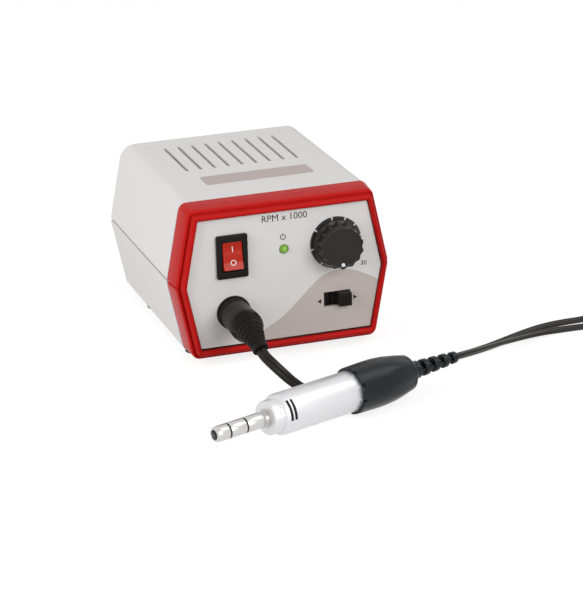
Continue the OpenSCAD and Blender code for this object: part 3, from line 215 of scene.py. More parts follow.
class Shade:
    """A material or a world under construction."""

    def __init__(self, name, world=False):
        self.owner = (bpy.data.worlds if world else bpy.data.materials).new(name)
        self.owner.use_nodes = True
        self.tree = self.owner.node_tree
        self.tree.nodes.clear()
        self.out = self.tree.nodes.new("ShaderNodeOutputWorld" if world else "ShaderNodeOutputMaterial")

    def node(self, kind, settings=None, sockets=None, output=0):
        """A node of that kind: its settings are set first, then its sockets are linked or given values."""
        made = self.tree.nodes.new(kind)
        for key, value in (settings or {}).items():
            if key == "points":
                curve = made.mapping.curves[0]
                while len(curve.points) < len(value):
                    curve.points.new(0.5, 0.5)
                for point, place in zip(curve.points, value):
                    point.location = place
                made.mapping.update()
            else:
                setattr(made, key, value)
        for key, value in (sockets or {}).items():
            self.plug(made.inputs[key], value)
        return Value(self, made.outputs[output])

    def plug(self, target, value):
        """Links a value, or writes a number, a colour or a vector on the socket."""
        if isinstance(value, Value):
            self.tree.links.new(value.socket, target)
        elif isinstance(value, (tuple, list, np.ndarray)) and len(target.default_value) == 4:
            target.default_value = (*value[:3], 1.0)
        else:
            target.default_value = value

    def place(self):
        """Object coordinates, in millimetres of the part's frame, as x, y and z."""
        where = self.node("ShaderNodeTexCoord", output=3)
        parts = [self.node("ShaderNodeSeparateXYZ", None, {0: where}, output=i) for i in range(3)]
        return [part * (1 / MM) for part in parts]

    def where(self, scale=1.0, turn=0.0, stretch=(1, 1, 1)):
        """Object coordinates scaled to millimetres times scale, turned about z and stretched."""
        raw = self.node("ShaderNodeTexCoord", output=3)
        size = tuple(k * scale / MM for k in stretch)
        turned = self.node("ShaderNodeMapping", None, {"Vector": raw, "Rotation": (0, 0, turn)})
        return self.node("ShaderNodeMapping", None, {"Vector": turned, "Scale": size})

    def noise(self, scale, detail, turn=0.0, stretch=(1, 1, 1)):
        """Noise with about scale grains in a millimetre, from 0 to 1."""
        vector = self.where(scale, turn, stretch)
        sockets = {"Vector": vector, "Detail": detail, "Roughness": 0.55, "Scale": 1.0}
        return self.node("ShaderNodeTexNoise", None, sockets)

    def mix(self, factor, first, second):
        """Colour between first and second."""
        sockets = {0: factor, 6: first, 7: second}
        return self.node("ShaderNodeMix", {"data_type": "RGBA"}, sockets, output=2)

    def tone(self, rgb, amount, value):
        """A colour that value, from 0 to 1, makes darker or lighter by amount."""
        dark = tuple(c * (1 - amount) for c in rgb)
        light = tuple(min(1.0, c * (1 + amount)) for c in rgb)
        return self.mix(value, dark, light)

    def bump(self, height, depth):
        """A normal raised by height, from 0 to 1, times depth in millimetres."""
        return self.node("ShaderNodeBump", None, {"Height": height, "Distance": depth * MM, "Strength": 1.0})

    def finish(self, **sockets):
        """Closes the material with a Principled shader that has these sockets."""
        values = {key.replace("_", " ").title().replace("Ior", "IOR"): v for key, v in sockets.items()}
        return self.close(self.node("ShaderNodeBsdfPrincipled", None, values))

    def close(self, shader):
        """Joins the last shader to the output."""
        self.tree.links.new(shader.socket, self.out.inputs["Surface"])
        return self.owner

    def seen(self):
        """1 where the camera, metal or glass looks at it, and 0 for other light."""
        camera, glossy, through = (
            self.node("ShaderNodeLightPath", output=f"Is {kind} Ray")
            for kind in ("Camera", "Glossy", "Transmission")
        )
        return camera.math("MAXIMUM", glossy).math("MAXIMUM", through)


FINISHES = {}


def finish(name):
    """The material of that name, made on its first use."""
    if name not in FINISHES:
        FINISHES[name] = MAKERS[name](bpy.context.scene.micromotor_finishes)
    return FINISHES[name]


def moulded(name, rgb, grain, depth, rough, spread, coat=0.0, mottle=0.03, shine=0.5):
    """Moulded plastic: fine grain in the bump, and slow changes of tone and gloss."""
    shade = Shade(name)
    slow = shade.noise(0.05, 2.0)
    fine = shade.noise(grain, 2.0)
    return shade.finish(
        base_color=shade.tone(rgb, mottle, slow),
        roughness=rough + spread * (slow - 0.5),
        specular_ior_level=shine,
        normal=shade.bump(fine, depth),
        coat_weight=coat,
        coat_roughness=0.06,
    )


def make_housing(f):
    return moulded(
        "housing_plastic", f.housing, grain=2.2, depth=0.03, rough=0.46, spread=0.08, mottle=0.012,
    )


def make_bezel(f):
    """Gloss red moulding with faint flow lines along its length."""
    shade = Shade("bezel_plastic")
    slow = shade.noise(0.06, 2.0)
    flow = shade.noise(0.35, 3.0, stretch=(0.25, 1.0, 1.0))
    return shade.finish(
        base_color=shade.tone(tuple(f.bezel), 0.05, slow),
        roughness=0.26 + 0.10 * (flow - 0.5),
        specular_ior_level=0.04,
        normal=shade.bump(flow, 0.02),
    )


# Speed scale: its gaps and its length in degrees clockwise from its start, and its outer radius
SCALE_GAPS = (0, 29, 71, 117, 164, 196, 224, 252)
SCALE_SWEEP = 290
SCALE_START = 172
SCALE_RADIUS = 13.9

# Reach of the curve on the panel to each side, and the height at the top of its graph
SWELL_SIDE = 52
SWELL_TOP = 60


def make_film(f):
    """Printed film: a light field, a darker field under a swelling curve, and the scale round the knob.

    The curve gives a height for each x. The scale is a ring, cut by gaps at the listed angles, that starts
    thin under the knob and grows inwards as it runs clockwise.
    """
    shade = Shade("panel_film")
    x, _, z = shade.place()
    x = x - BOX_AT[0]
    z = z - BOX_AT[2]
    swell = [
        (-52, 0), (-24, 4.5), (-13.1, 11.1), (-2.7, 17), (6.9, 25.2), (14.4, 32.2), (21.1, 37.1),
        (28.4, 38.9), (35.7, 38.2), (43, 35.2), (52, 30),
    ]
    points = [((a + SWELL_SIDE) / (2 * SWELL_SIDE), b / SWELL_TOP) for a, b in swell]
    share = (x + SWELL_SIDE) / (2 * SWELL_SIDE)
    height = shade.node("ShaderNodeFloatCurve", {"points": points}, {"Value": share})
    field = shade.mix((height * SWELL_TOP - z).above(0, 0.12), tuple(f.film), tuple(f.film_dark))
    dx = x - COLUMN
    dz = z - UPPER_ROW
    radius = (dx * dx + dz * dz).math("SQRT")
    turn = dx.math("ARCTAN2", dz) * (180 / math.pi) + SCALE_START
    turn = turn.math("FLOORED_MODULO", 360.0)
    inner = SCALE_RADIUS - 0.6 - (turn / 50).math("MINIMUM", 2.2)
    ring = (radius - inner).above(0, 0.1) * radius.below(SCALE_RADIUS, 0.1) * turn.below(SCALE_SWEEP, 0.4)
    for gap in SCALE_GAPS:
        ring = ring * (turn - gap).abs().above(1.6, 0.5)
    field = shade.mix(ring, field, tuple(f.ink))
    fine = shade.noise(3.0, 2.0)
    slow = shade.noise(0.04, 2.0)
    return shade.finish(
        base_color=field,
        roughness=0.42 + 0.06 * (slow - 0.5),
        normal=shade.bump(fine, 0.012),
    )


def make_ink(f):
    return moulded("panel_ink", f.ink, grain=4.0, depth=0.004, rough=0.5, spread=0.05, shine=0.12)


def make_white_ink(f):
    return moulded("white_ink", (0.86, 0.86, 0.84), grain=4.0, depth=0.004, rough=0.45, spread=0.05)


def make_badge(f):
    """Bare plate with a fine brushed grain."""
    shade = Shade("badge_plate")
    grain = shade.noise(1.6, 3.0, stretch=(0.05, 1.0, 1.0))
    return shade.finish(
        base_color=shade.tone(tuple(f.badge), 0.08, grain),
        roughness=0.38 + 0.12 * (grain - 0.5),
        metallic=0.25,
        normal=shade.bump(grain, 0.01),
    )


def make_black(f):
    return moulded(
        "black_plastic", f.black, grain=3.0, depth=0.035, rough=0.42, spread=0.12, mottle=0.1, shine=0.12,
    )


def make_knob(f):
    return moulded(
        "knob_plastic", f.black, grain=2.4, depth=0.03, rough=0.36, spread=0.12, mottle=0.12, shine=0.3,
    )


def make_rocker(f):
    return moulded(
        "rocker_plastic", f.rocker, grain=1.2, depth=0.01, rough=0.24, spread=0.06, coat=0.03, shine=0.15,
    )


def make_plug(f):
    return moulded(
        "plug_vinyl", f.plug, grain=2.6, depth=0.05, rough=0.34, spread=0.12, mottle=0.12, shine=0.09,
    )


def make_cord(f):
    return moulded(
        "cord_vinyl", f.plug, grain=1.8, depth=0.03, rough=0.44, spread=0.1, mottle=0.1, shine=0.25,
    )


def make_cap(f):
    return moulded(
        "cap_plastic", f.cap, grain=2.6, depth=0.03, rough=0.27, spread=0.08, mottle=0.08, shine=0.27,
    )


def make_rubber(f):
    return moulded("rubber", (0.02, 0.02, 0.02), grain=2.0, depth=0.05, rough=0.7, spread=0.1, mottle=0.15)


# Dark red-brown lip: painted shade, a dark piece that stands for the shadow in the gap between the panel and
# the bezel's rim
def make_painted_shade_lip(f):
    return moulded(
        "painted_shade_lip_plastic", (0.060, 0.012, 0.009), grain=2.0, depth=0.03, rough=0.6, spread=0.08,
        mottle=0.1, shine=0.08,
    )


def make_lamp(f):
    """Lit green lens: it glows most where it is thickest."""
    shade = Shade("lamp_lens")
    x, _, z = shade.place()
    dx = x - BOX_AT[0]
    dz = z - BOX_AT[2] - UPPER_ROW
    core = (dx * dx + dz * dz).math("SQRT").below(1.0, 1.6)
    rgb = tuple(f.lamp)
    glow = shade.mix(core, tuple(c * 0.55 for c in rgb), tuple(min(1.0, c * 1.5 + 0.05) for c in rgb))
    return shade.finish(
        base_color=shade.mix(core, tuple(c * 0.5 for c in rgb), rgb),
        roughness=0.12 + 0.05 * core,
        emission_color=glow,
        emission_strength=0.3,
        coat_weight=0.3,
        coat_roughness=0.05,
    )


def turned_metal(name, rgb, rough, spread, lines, depth, metallic=1.0):
    """Turned metal: fine lines round the handpiece's axis, and slow changes of gloss."""
    shade = Shade(name)
    grooves = shade.noise(lines, 3.0, turn=-HAND_TURN, stretch=(1.0, 0.02, 0.02))
    slow = shade.noise(0.12, 2.0)
    return shade.finish(
        base_color=shade.tone(rgb, 0.05, grooves),
        metallic=metallic,
        roughness=rough + spread * (grooves - 0.5) + 0.05 * (slow - 0.5),
        normal=shade.bump(grooves, depth),
    )


def make_sleeve(f):
    return turned_metal(
        "sleeve_aluminium", f.sleeve, rough=0.38, spread=0.08, lines=6.0, depth=0.003, metallic=0.85,
    )


def make_nickel(f):
    return turned_metal("stem_nickel", f.nickel, rough=0.27, spread=0.06, lines=5.0, depth=0.001)


def plain_metal(name, rgb, rough):
    """Sheet or bar metal with a fine grain."""
    shade = Shade(name)
    fine = shade.noise(1.5, 3.0, stretch=(1.0, 0.15, 1.0))
    return shade.finish(
        base_color=shade.tone(rgb, 0.08, fine),
        metallic=1.0,
        roughness=rough + 0.15 * (fine - 0.5),
        normal=shade.bump(fine, 0.01),
    )


def make_steel(f):
    return plain_metal("plain_steel", (0.45, 0.45, 0.46), rough=0.38)


def make_brass(f):
    return plain_metal("plain_brass", (0.70, 0.50, 0.20), rough=0.32)


def make_aluminium(f):
    return plain_metal("plain_aluminium", (0.74, 0.75, 0.76), rough=0.36)


def make_iron(f):
    """Laminated iron: sheets of half a millimetre along y."""
    shade = Shade("laminated_iron")
    _, y, _ = shade.place()
    sheet = (y * 2).math("FRACT")
    fine = shade.noise(1.2, 3.0)
    return shade.finish(
        base_color=shade.tone((0.20, 0.20, 0.21), 0.25, sheet),
        metallic=0.8,
        roughness=0.5 + 0.2 * (fine - 0.5),
        normal=shade.bump(sheet, 0.04),
    )


def make_copper(f):
    """Enamelled wire: turns of a third of a millimetre."""
    shade = Shade("wound_copper")
    _, _, z = shade.place()
    wire = (z * 3).math("PINGPONG", 0.5) * 2
    fine = shade.noise(0.8, 2.0)
    return shade.finish(
        base_color=shade.tone((0.60, 0.25, 0.11), 0.2, wire),
        metallic=0.9,
        roughness=0.34 + 0.1 * (fine - 0.5),
        normal=shade.bump(wire, 0.12),
    )


def make_board(f):
    """Circuit board: solder mask with paler tracks under it."""
    shade = Shade("circuit_board_mask")
    x, y, _ = shade.place()
    across = (x / 2.54 + shade.noise(0.12, 0.0) * 3).math("FRACT").above(0.7, 0.05)
    along = (y / 2.54 + shade.noise(0.1, 0.0) * 3).math("FRACT").above(0.75, 0.05)
    track = across.math("MAXIMUM", along)
    return shade.finish(
        base_color=shade.mix(track, (0.012, 0.085, 0.025), (0.03, 0.16, 0.05)),
        roughness=0.32 + 0.1 * track,
        normal=shade.bump(track, 0.03),
    )


def make_can(f):
    return moulded("capacitor_sleeve", (0.02, 0.03, 0.10), grain=0.8, depth=0.01, rough=0.3, spread=0.1)


def make_bakelite(f):
    return moulded(
        "brown_moulding", (0.11, 0.04, 0.015), grain=1.4, depth=0.02, rough=0.4, spread=0.15, mottle=0.2,
    )


def make_carbon(f):
    return moulded(
        "carbon", (0.02, 0.02, 0.021), grain=5.0, depth=0.02, rough=0.55, spread=0.1, mottle=0.3,
    )


MAKERS = {
    "housing": make_housing,
    "bezel": make_bezel,
    "film": make_film,
    "ink": make_ink,
    "white_ink": make_white_ink,
    "badge": make_badge,
    "black": make_black,
    "knob": make_knob,
    "rocker": make_rocker,
    "plug": make_plug,
    "cord": make_cord,
    "cap": make_cap,
    "rubber": make_rubber,
    "painted_shade_lip": make_painted_shade_lip,
    "lamp": make_lamp,
    "sleeve": make_sleeve,
    "nickel": make_nickel,
    "steel": make_steel,
    "brass": make_brass,
    "aluminium": make_aluminium,
    "iron": make_iron,
    "copper": make_copper,
    "board": make_board,
    "can": make_can,
    "bakelite": make_bakelite,
    "carbon": make_carbon,
}


# Surfaces
def grid(rows, columns, loop):
    """Quads over a stack of closed rings: each point with its next neighbours, and from the last ring to
    the first where the stack loops."""
    i = np.arange(rows if loop else rows - 1)[:, None]
    j = np.arange(columns)[None, :]
    ahead = (i + 1) % rows * columns
    beside = (j + 1) % columns
    return np.stack([i * columns + j, ahead + j, ahead + beside, i * columns + beside], -1).reshape(-1, 4)


def skin(rings, loop=False):
    """Points and faces of a closed surface over a stack of rings: capped at both ends, or looped."""
    rows, columns = rings.shape[:2]
    faces = grid(rows, columns, loop).tolist()
    if not loop:
        faces.append(list(range(columns)))
        faces.append(list(range((rows - 1) * columns, rows * columns)))
    return rings.reshape(-1, 3), faces


def rounded(points, radius, steps=4):
    """A line with its inner corners rounded: each corner becomes a parabola that starts and ends at
    radius from it, or at nearly half of the shorter side."""
    p = np.asarray(points, float)
    before = p[:-2] - p[1:-1]
    after = p[2:] - p[1:-1]
    la = np.linalg.norm(before, axis=1, keepdims=True)
    lb = np.linalg.norm(after, axis=1, keepdims=True)
    cut = np.minimum(radius, 0.48 * np.minimum(la, lb))
    a = (p[1:-1] + before / la * cut)[:, None]
    b = (p[1:-1] + after / lb * cut)[:, None]
    t = np.linspace(0, 1, steps + 1)[None, :, None]
    curve = a * (1 - t) ** 2 + 2 * p[1:-1][:, None] * t * (1 - t) + b * t ** 2
    return np.concatenate([p[:1], curve.reshape(-1, p.shape[1]), p[-1:]])


def rounded_loop(points, radius, steps=4):
    """A closed line with all its corners rounded."""
    p = np.asarray(points, float)
    return rounded(np.concatenate([p[-1:], p, p[:1]]), radius, steps)[1:-1]


def round_axis(profile, sides, shape):
    """Angles round an axis, and the place along it and the radius at each row of a profile and each angle;
    shape may change the radius by place and angle."""
    p = np.asarray(profile, float)
    angle = np.linspace(0, 2 * np.pi, sides, endpoint=False)
    place, radius = p[:, :1], p[:, 1:]
    if shape:
        radius = shape(place, radius, angle[None, :])
    return angle, np.broadcast_to(place, (len(p), sides)), np.broadcast_to(radius, (len(p), sides))


def turned(profile, sides=96, shape=None):
    """Rings of a profile of (station, radius) carried round the handpiece's axis from its top."""
    angle, station, radius = round_axis(profile, sides, shape)
    spoke = np.cos(angle)[:, None] * UP + np.sin(angle)[:, None] * ACROSS
    return TIP + station[:, :, None] * ALONG + radius[:, :, None] * spoke


def front_turned(profile, x, z, sides, shape=None):
    """Rings of a profile of (y, radius) carried round an axis along y through x and z of the box, clockwise
    from twelve o'clock as the panel is seen."""
    angle, y, radius = round_axis(profile, sides, shape)
    return np.stack([x + radius * np.sin(angle), y, z + radius * np.cos(angle)], -1) + BOX_AT


def from_middle(angle, count):
    """The angle from the middle of the sector that it is in, of count equal ones."""
    return ((angle * count / (2 * np.pi)) % 1.0 - 0.5) * 2 * np.pi / count


# Outline of the box in x and z, and its depths in y
BOX_TOP = 80.4
PARTING = 39.4
HEXAGON = np.array([
    [50.6, 0], [58.5, PARTING], [50.2, BOX_TOP], [-50.2, BOX_TOP], [-58.5, PARTING], [-50.6, 0],
])
PARTING_BEVEL = 0.8
SEAM = 0.25
PARTING_DENT = 1.3
WALL = 2.5
SHELL_FRONT = 17.25
SHELL_BACK = 128.2
VENT_MIDDLE = 91.0
PANEL_Y = 1.3
INK_Y = PANEL_Y - 0.02
BEZEL_CORNER = 4.5
BEZEL_LOW_CORNER = 5.5
BEZEL_WIDTH = 8.3
BEZEL_DEPTH = 16.75
BEZEL_DROP = 1.8
TONGUE_END = 21.25


def outline(inset, top_radius, dent=0.0, low_radius=4.0, steps=12):
    """The housing's six-sided outline in x and z, drawn in by inset: each corner is an arc that touches both
    sides, and the two at the parting line take a vee of depth dent."""
    radii = np.array([low_radius, 12, top_radius, top_radius, 12, low_radius], float)
    ahead = np.roll(HEXAGON, -1, axis=0) - HEXAGON
    ahead /= np.linalg.norm(ahead, axis=1, keepdims=True)
    behind = np.roll(ahead, 1, axis=0)
    n0 = np.stack([-behind[:, 1], behind[:, 0]], -1)
    n1 = np.stack([-ahead[:, 1], ahead[:, 0]], -1)
    tip = HEXAGON + inset * (n0 + n1) / (1 + (n0 * n1).sum(1, keepdims=True))
    turn = np.arccos((behind * ahead).sum(1))
    radius = np.maximum(radii - inset, 0.5)
    hub = tip - behind * (radius * np.tan(turn / 2))[:, None] + n0 * radius[:, None]
    k = np.linspace(0, 1, steps + 1)
    angle = turn[:, None] * k
    vee = np.maximum(0, 1 - np.abs(k - 0.5) * 6)
    hold = np.array([0, dent, 0, 0, dent, 0])[:, None] * vee
    reach = radius[:, None] - hold
    sx = -n0[:, :1] * np.cos(angle) + n0[:, 1:] * np.sin(angle)
    sz = -n0[:, :1] * np.sin(angle) - n0[:, 1:] * np.cos(angle)
    points = hub[:, None] + reach[:, :, None] * np.stack([sx, sz], -1)
    return points.reshape(-1, 2)


def frame_line(width, height, radius, steps=6):
    """A rectangle with round corners in x and z, about its own middle."""
    radius = max(radius, 0.02)
    a = np.linspace(0, np.pi / 2, steps + 1)
    corners = []
    for quarter, (sx, sz) in enumerate([(1, 1), (-1, 1), (-1, -1), (1, -1)]):
        hub = np.array([sx * (width / 2 - radius), sz * (height / 2 - radius)])
        b = a + quarter * np.pi / 2
        corners.append(hub + radius * np.stack([np.cos(b), np.sin(b)], -1))
    return np.concatenate(corners)


def stacked(section, line):
    """Rings of line(inset) at each (inset, y) of a section, in the frame of the box."""
    rings = [np.insert(line(inset), 1, y, axis=1) for inset, y in section]
    return np.stack(rings) + BOX_AT


def piece(name, points, faces, material, slot, body="base", stands_for=(), sharp=38):
    """A new object at the origin, in metres, with outward faces and soft edges, that rides on a body."""
    mesh = bpy.data.meshes.new(name)
    mesh.from_pydata((np.asarray(points) * MM).tolist(), [], faces)
    work = bmesh.new()
    work.from_mesh(mesh)
    bmesh.ops.remove_doubles(work, verts=work.verts, dist=1e-7)
    bmesh.ops.recalc_face_normals(work, faces=work.faces)
    work.to_mesh(mesh)
    work.free()
    mesh.polygons.foreach_set("use_smooth", np.ones(len(mesh.polygons), bool))
    mesh.set_sharp_from_angle(angle=math.radians(sharp))
    mesh.materials.append(material)
    made = bpy.data.objects.new(name, mesh)
    bpy.context.scene.collection.objects.link(made)
    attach(made, body)
    if stands_for:
        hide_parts(*stands_for)
    return made


def joined(*parts):
    """Points and faces of several surfaces as one."""
    points = []
    faces = []
    count = 0
    for p, f in parts:
        points.append(p)
        faces += [[i + count for i in face] for face in f]
        count += len(p)
    return np.concatenate(points), faces


def dress(material, *nodes):
    """Gives nodes of the frame a finish; their shapes stay."""
    for name in nodes:
        slots = frame["nodes"][name].data.materials
        slots.clear()
        slots.append(material)


def lettering(name, text, size, middle, normal, up, material, slot, thick, body="base"):
    """Flat letters as a mesh: text of that height about a middle point, facing along normal."""
    curve = bpy.data.curves.new(name, "FONT")
    curve.body = text
    curve.size = size
    curve.align_x = "CENTER"
    curve.align_y = "CENTER"
    curve.extrude = thick
    curve.resolution_u = 3
    text_object = bpy.data.objects.new(name + "_text", curve)
    bpy.context.scene.collection.objects.link(text_object)
    bpy.context.view_layer.update()
    graph = bpy.context.evaluated_depsgraph_get()
    mesh = bpy.data.meshes.new_from_object(text_object.evaluated_get(graph))
    bpy.data.objects.remove(text_object)
    bpy.data.curves.remove(curve)
    back = np.asarray(normal, float) / np.linalg.norm(normal)
    top = np.asarray(up, float) / np.linalg.norm(up)
    right = np.cross(top, back)
    co = np.zeros(len(mesh.vertices) * 3)
    mesh.vertices.foreach_get("co", co)
    co = co.reshape(-1, 3)
    points = np.asarray(middle) + co[:, :1] * right + co[:, 1:2] * top + co[:, 2:] * back
    faces = [list(p.vertices) for p in mesh.polygons]
    bpy.data.meshes.remove(mesh)
    return piece(name, points, faces, material, slot, body)


# Cord
COIL_AT = np.array([223.0, -54.0])
COIL_TURNS = 6.5
COIL_STEP = 3.3
COIL_LIFT = 0.95
LAYER_GAP = 0.6
PLUG_DROOP = math.radians(15)
PLUG_END = np.array([-COLUMN, -26.9, LOWER_ROW])
BOOT_LENGTH = 18.0
BOOT_RADIUS = 6.6
MOUTH_ROLL = 27.0


def smooth_line(points, steps):
    """A Catmull-Rom line through the points, with that many steps between two of them."""
    p = np.asarray(points, float)
    p = np.concatenate([2 * p[:1] - p[1:2], p, 2 * p[-1:] - p[-2:-1]])
    a, b, c, d = (p[i:len(p) - 3 + i][:, None] for i in range(4))
    t = np.linspace(0, 1, steps, endpoint=False)[None, :, None]
    line = b + 0.5 * t * (c - a + t * (2 * a - 5 * b + 4 * c - d + t * (3 * (b - c) + d - a)))
    return np.concatenate([line.reshape(-1, p.shape[1]), p[-2:-1]])


def coil_line(radius, low, rise, rings=48):
    """The coil as x, y, z and roll: three turns inwards in a lower layer, half a turn in which the cord
    climbs, and three turns outwards in an upper layer, clockwise from twelve o'clock."""
    f = np.linspace(0, COIL_TURNS, int(COIL_TURNS * rings) + 1)
    half = np.sin(2 * np.pi * (f - 3)) + 3
    dip = np.where(f <= 3, f, np.where(f < 3.5, half, COIL_TURNS - f))
    u = np.clip(2 * (f - 3), 0, 1)
    reach = radius - COIL_STEP * dip
    angle = np.pi / 2 - 2 * np.pi * f
    height = low + rise * u * u * (3 - 2 * u)
    x = COIL_AT[0] + reach * np.cos(angle)
    y = COIL_AT[1] + reach * np.sin(angle)
    return np.stack([x, y, height, np.full_like(f, 90.0)], -1)


def cord_line(sizes):
    """The cord's whole route from the handpiece to the plug, as x, y, z and roll in degrees. It is laid out
    from the plug and then turned round, which changes the sign of the roll."""
    width = sizes.cord_width / MM
    lie = sizes.cord_depth / MM / 2 + 0.1
    coil = coil_line(sizes.coil_radius / MM, COIL_LIFT + width / 2, width + LAYER_GAP)
    inward, outward = coil[0], coil[-1]
    lead = np.array([width, 0, 0, 0])
    out = np.array([0, -math.cos(PLUG_DROOP), -math.sin(PLUG_DROOP), 0])
    end = np.append(BOX_AT + PLUG_END, MOUTH_ROLL) + BOOT_LENGTH * out
    from_plug = [
        end + 0.1 * out, end + 2.5 * out,
        [-23.5, -59.2, 20.1, 34], [-22, -62.3, 18.4, 44], [-19.8, -64.6, 16, 54], [-17.1, -66, 13.1, 60],
        [-14.2, -66.7, 10, 60], [-11.1, -67, 7.1, 52], [-7.9, -67.5, 4.7, 36], [-4.2, -68.3, 2.8, 18],
        [0.3, -69, 1.7, 6], [6.5, -68.9, lie, 0], [14, -67.3, lie, 0], [24, -64.8, lie, 0],
        [36, -61.8, lie, 0], [48, -58.6, lie, 0], [60, -55.3, lie, 0], [71, -52, lie, 0],
        [80.4, -49, lie, 0], [89.1, -46.4, lie, 0], [98, -43.4, lie, 0], [107.5, -39.4, lie, 0],
        [117.4, -34.6, lie, 0], [127.2, -30, lie, 0], [136.8, -26.2, lie, 0], [145.6, -24, lie, 0],
        [154.4, -23.1, lie, 0], [163.8, -22.7, lie, 0], [174, -22.4, 1.9, 15], [185, -22.2, 2.5, 40],
        [195, -22.1, 3.2, 65], [205, -22, inward[2], 85],
        inward - 2 * lead, inward - lead, inward,
    ]
    tail = TIP + RELIEF_END * ALONG
    to_hand = [
        outward, outward - lead, outward - 2 * lead,
        [205, -85, 8.6, 82], [197.5, -82, 6.6, 66], [190.5, -77, 4.7, 48], [185, -70, 3.2, 30],
        [181.5, -61.5, 2.1, 14], [179, -52.5, 1.5, 4], [175.5, -43.5, lie, 0], [169, -36.5, lie, 0],
        [160.5, -33.4, lie, 0], [151.9, -32.9, lie, 0], [143.2, -33.2, 1.5, 0], [135.8, -34.5, 1.8, 6],
        [128.3, -37.5, 2.5, 12], [121.1, -41.5, 3.5, 18], [113.5, -46.3, 4.8, 20],
        [106.4, -51.4, 6.3, 21], [99.1, -57, 7.9, 21], [92, -62.5, 9.4, 22], [85.1, -67.4, 10.7, 22],
        [79.3, -71, 11.6, 23], [*(tail + 4 * ALONG), 24], [*tail, 24],
    ]
    route = np.concatenate([smooth_line(from_plug, 6)[:-1], coil[:-1], smooth_line(to_hand, 6)])
    return route[::-1] * np.array([1, 1, 1, -1])


def twin_section(width, depth, sides=21):
    """Outline of a flat twin cord: two round cores side by side, with a shallow groove where they join.
    The half thickness at a place across the cord is that of a flattened oval, less a narrow dip."""
    u = np.linspace(0, np.pi, sides)
    across = width / 2 * np.cos(u)
    rise = depth / 2 * np.clip(1 - np.abs(2 * across / width) ** 3.2, 0, 1) ** 0.5
    rise -= 0.45 * depth / 2 * np.exp(-(across / (0.07 * width)) ** 2)
    upper = np.stack([across, rise], -1)
    lower = np.stack([across, -rise], -1)[::-1][1:-1]
    return np.concatenate([upper, lower])


def swept(route, section):
    """Rings of a section carried along a route of x, y, z and roll, kept upright and then rolled."""
    p = route[:, :3]
    t = np.gradient(p, axis=0)
    t /= np.linalg.norm(t, axis=1, keepdims=True)
    side = np.cross(UP, t)
    side /= np.linalg.norm(side, axis=1, keepdims=True)
    rise = np.cross(t, side)
    roll = np.radians(route[:, 3:])
    wide = side * np.cos(roll) + rise * np.sin(roll)
    thin = rise * np.cos(roll) - side * np.sin(roll)
    return p[:, None] + wide[:, None] * section[None, :, :1] + thin[:, None] * section[None, :, 1:]


class MICROMOTOR_OT_stage(bpy.types.Operator):
    """Camera at the photograph's angle, soft lamps, a pale room and a pale floor"""

    bl_idname = "micromotor.stage"
    bl_label = "Stage"

    def execute(self, context):
        scene = context.scene
        stage = scene.micromotor_stage
        eye, aim = Vector(stage.eye), Vector(stage.aim)
        back = (eye - aim).normalized()
        right = Vector((0, 0, 1)).cross(back).normalized()
        top = back.cross(right)
        turn = Matrix((right, top, back)).transposed() @ Matrix.Rotation(stage.roll, 3, "Z")
        lens = bpy.data.cameras.new("photo_camera")
        lens.lens = stage.lens
        lens.sensor_width = 36
        camera = bpy.data.objects.new("photo_camera", lens)
        camera.matrix_world = Matrix.Translation(eye) @ turn.to_4x4()
        scene.collection.objects.link(camera)
        scene.camera = camera
        scene.view_settings.view_transform = "Standard"
        for name, place, size, power in (
            ("key_lamp", (-1.40, -0.25, 0.65), 1.1, stage.key),
            ("top_lamp", (0.85, -0.22, 1.00), 0.62, stage.top),
            ("fill_lamp", (0.50, -1.42, 0.72), 0.9, stage.fill),
        ):
            lamp = bpy.data.lights.new(name, "AREA")
            lamp.energy = power
            lamp.size = size
            holder = bpy.data.objects.new(name, lamp)
            toward = (Vector((0.01, 0.0, 0.03)) - Vector(place)).to_track_quat("-Z", "Y")
            holder.matrix_world = Matrix.Translation(place) @ toward.to_matrix().to_4x4()
            scene.collection.objects.link(holder)
            holder.visible_glossy = name != "key_lamp"
        self.room(scene, stage.room)
        self.floor(scene)
        return {"FINISHED"}

    def room(self, scene, strength):
        """Even light of that strength, and white where the camera, metal or glass sees the room."""
        shade = Shade("pale_room", world=True)
        light, white = (
            shade.node("ShaderNodeBackground", None, {"Color": (1, 1, 1), "Strength": level})
            for level in (strength, 1.0)
        )
        mixed = shade.node("ShaderNodeMixShader", None, {0: shade.seen(), 1: light, 2: white})
        scene.world = shade.close(mixed)

    def floor(self, scene):
        """White to the camera and to metal, dimmed a little by the object's shadow; plain to other light."""
        shade = Shade("pale_floor")
        plain = shade.node("ShaderNodeBsdfDiffuse", None, {"Color": (0.40, 0.40, 0.40)})
        shaded = shade.node("ShaderNodeBsdfDiffuse", None, {"Color": (0.30, 0.30, 0.30)})
        glow = shade.node("ShaderNodeEmission", None, {"Color": (1, 1, 1), "Strength": 0.80})
        bright = shade.node("ShaderNodeAddShader", None, {0: shaded, 1: glow})
        mixed = shade.node("ShaderNodeMixShader", None, {0: shade.seen(), 1: plain, 2: bright})
        half = 6
        corners = [(-half, -half, 0), (half, -half, 0), (half, half, 0), (-half, half, 0)]
        mesh = bpy.data.meshes.new("floor")
        mesh.from_pydata(corners, [], [(0, 1, 2, 3)])
        mesh.materials.append(shade.close(mixed))
        floor = bpy.data.objects.new("floor", mesh)
        scene.collection.objects.link(floor)


class MICROMOTOR_OT_cord(bpy.types.Operator):
    """Flat twin cord from the handpiece through its coil to the plug"""

    bl_idname = "micromotor.cord"
    bl_label = "Cord"

    def execute(self, context):
        sizes = context.scene.micromotor_sizes
        route = cord_line(sizes)
        section = twin_section(sizes.cord_width / MM, sizes.cord_depth / MM)
        points, faces = skin(swept(route, section))
        nodes = ("plug_cord", "cord_coil", "tail_cord")
        cord = piece("flat_cord", points, faces, finish("cord"), "cord", stands_for=nodes, sharp=60)
        dress(finish("black"), "cord_tie")
        return {"FINISHED"}


